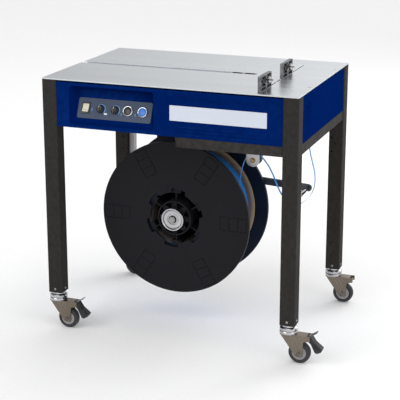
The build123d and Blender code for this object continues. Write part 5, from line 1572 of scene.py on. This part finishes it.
        self.shop.piece(leaf, f"pedal_leaf_{self.corner}", Slot.SCREW_STEEL, body, 0.0003)


# ---------------------------------------------------------------- mechanism
@dataclass
class Mechanism:
    """What works inside the casing: head, camshaft, belt, motor and rollers."""

    shop: Workshop
    fins: int = 9
    fin_start: float = 0.018  # from the motor's front to its first fin
    fin_pitch: float = 0.0092

    def build(self) -> None:
        """Builds the mechanism."""
        for node, edge in (("sealing_head", 0.0005), ("camshaft", 0.0005), ("motor_pulley", 0.0004),
                           ("drive_belt", 0.0004), ("motor", 0.0015), ("feed_roller", 0.0005),
                           ("pinch_roller", 0.0005)):
            self.shop.eased(node, edge)
        self.motor_fins()

    def motor_fins(self) -> None:
        """Cooling fins round the motor's body."""
        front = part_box("motor")[0].y
        pulley = middle_of("motor_pulley")
        shape = Shape()
        for k in range(self.fins):
            y = front + self.fin_start + self.fin_pitch * k
            shape.turned([(y, 0.0405), (y, 0.0436), (y + 0.0007, 0.0442), (y + 0.0017, 0.0442),
                          (y + 0.0024, 0.0436), (y + 0.0024, 0.0405)],
                         Vector((pulley.x, 0, pulley.z)), Axis.Y, 64, loop=True)
        self.shop.piece(shape, "motor_fins", Slot.MOTOR_GREY, "frame")


# ---------------------------------------------------------------- studio
@dataclass
class Studio:
    """The pale floor, the soft light and the camera."""

    camera_place: tuple[float, float, float] = (1.4251, -3.8707, 1.6952)
    yaw: float = -0.3631
    pitch: float = -0.2598
    lens: float = 109.08
    shift: float = -0.1125
    floor_reach: float = 40.0
    lamp_aim: float = 0.55  # height that the lamps face
    sky_band: Flat = (-0.5, -0.14)  # across the sky, where its light grows
    sky_share: Flat = (0.56, 1.14)  # its light to the left of that and to the right

    def build(self) -> None:
        """Sets the camera, the lights and the floor."""
        self.camera()
        self.floor()
        self.sky()
        self.lamp("key_light", (-2.2, -3.0, 3.2), 2.2, 40.0)
        self.lamp("fill_light", (3.4, -1.6, 2.4), 2.0, 12.0)
        self.lamp("back_light", (1.6, 3.6, 2.8), 2.4, 50.0)

    def camera(self) -> None:
        """The camera, by its place and the way it looks."""
        data = bpy.data.cameras.new("camera")
        data.lens, data.sensor_width, data.shift_y = self.lens, 36.0, self.shift
        camera = bpy.data.objects.new("camera", data)
        look = Vector((sin(self.yaw) * cos(self.pitch), cos(self.yaw) * cos(self.pitch), sin(self.pitch)))
        camera.location = self.camera_place
        camera.rotation_mode = "QUATERNION"
        camera.rotation_quaternion = look.to_track_quat("-Z", "Y")
        bpy.context.scene.collection.objects.link(camera)
        bpy.context.scene.camera = camera

    def floor(self) -> None:
        """A wide pale floor."""
        shape = Shape()
        reach = self.floor_reach
        corners = [Vector((x, y, 0.0)) for x, y in ((-1, -1), (1, -1), (1, 1), (-1, 1))]
        shape.bm.faces.new([shape.bm.verts.new(corner * reach) for corner in corners])
        mesh = bpy.data.meshes.new("floor")
        shape.bm.to_mesh(mesh)
        shape.bm.free()
        floor = bpy.data.objects.new("floor", mesh)
        mesh.materials.append(Finish((0.93, 0.93, 0.93), (0.92, 0.92, 0.92), (0.8, 0.9), 0.4,
                                     specular=0.1, grain=200.0, depth=1e-5).material("studio_floor"))
        bpy.context.scene.collection.objects.link(floor)

    def sky(self) -> None:
        """A white surround, which shines a little less from the left."""
        scene = bpy.context.scene
        world = bpy.data.worlds.new("studio")
        world.use_nodes = True
        tree = world.node_tree
        add, join = tree.nodes.new, tree.links.new
        split, shade, seen, pick = (add(f"ShaderNode{kind}") for kind in
                                    ("SeparateXYZ", "MapRange", "LightPath", "Mix"))
        join(add("ShaderNodeTexCoord").outputs["Generated"], split.inputs[0])
        join(split.outputs["X"], shade.inputs["Value"])
        limits = (*self.sky_band, *self.sky_share)
        for name, number in zip(("From Min", "From Max", "To Min", "To Max"), limits):
            shade.inputs[name].default_value = number
        join(seen.outputs["Is Camera Ray"], pick.inputs[0])
        join(shade.outputs["Result"], pick.inputs[2])
        pick.inputs[3].default_value = 1.0
        join(pick.outputs[0], tree.nodes["Background"].inputs["Strength"])
        tree.nodes["Background"].inputs["Color"].default_value = (1.0, 1.0, 1.0, 1.0)
        scene.world = world
        scene.view_settings.view_transform = "Standard"

    def lamp(self, name: str, place: tuple[float, float, float], size: float, power: float) -> None:
        """A soft square lamp that faces the machine.

        Args:
            name: its name.
            place: where it stands.
            size: the length of its side.
            power: its power in watts.
        """
        data = bpy.data.lights.new(name, "AREA")
        data.size, data.energy = size, power
        lamp = bpy.data.objects.new(name, data)
        lamp.location = place
        aim = Vector((0.0, 0.0, self.lamp_aim)) - Vector(place)
        lamp.rotation_mode = "QUATERNION"
        lamp.rotation_quaternion = aim.to_track_quat("-Z", "Y")
        bpy.context.scene.collection.objects.link(lamp)


def main() -> None:
    """Builds the machine, one sub-assembly after the other."""
    logging.basicConfig(level=logging.INFO, format="%(name)s: %(message)s")
    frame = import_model()
    shop = Workshop(frame)
    Studio().build()
    StrapRun(shop).build()
    casing = Casing(shop)
    parts = [LegFrame(shop), casing, TableTop(shop), ControlPanel(shop, casing), StrapReel(shop),
             Mechanism(shop)]
    parts += [Castor(shop, corner) for corner in ("front_left", "front_right", "rear_left", "rear_right")]
    for part in parts:
        part.build()


if __name__ == "__main__":
    main()
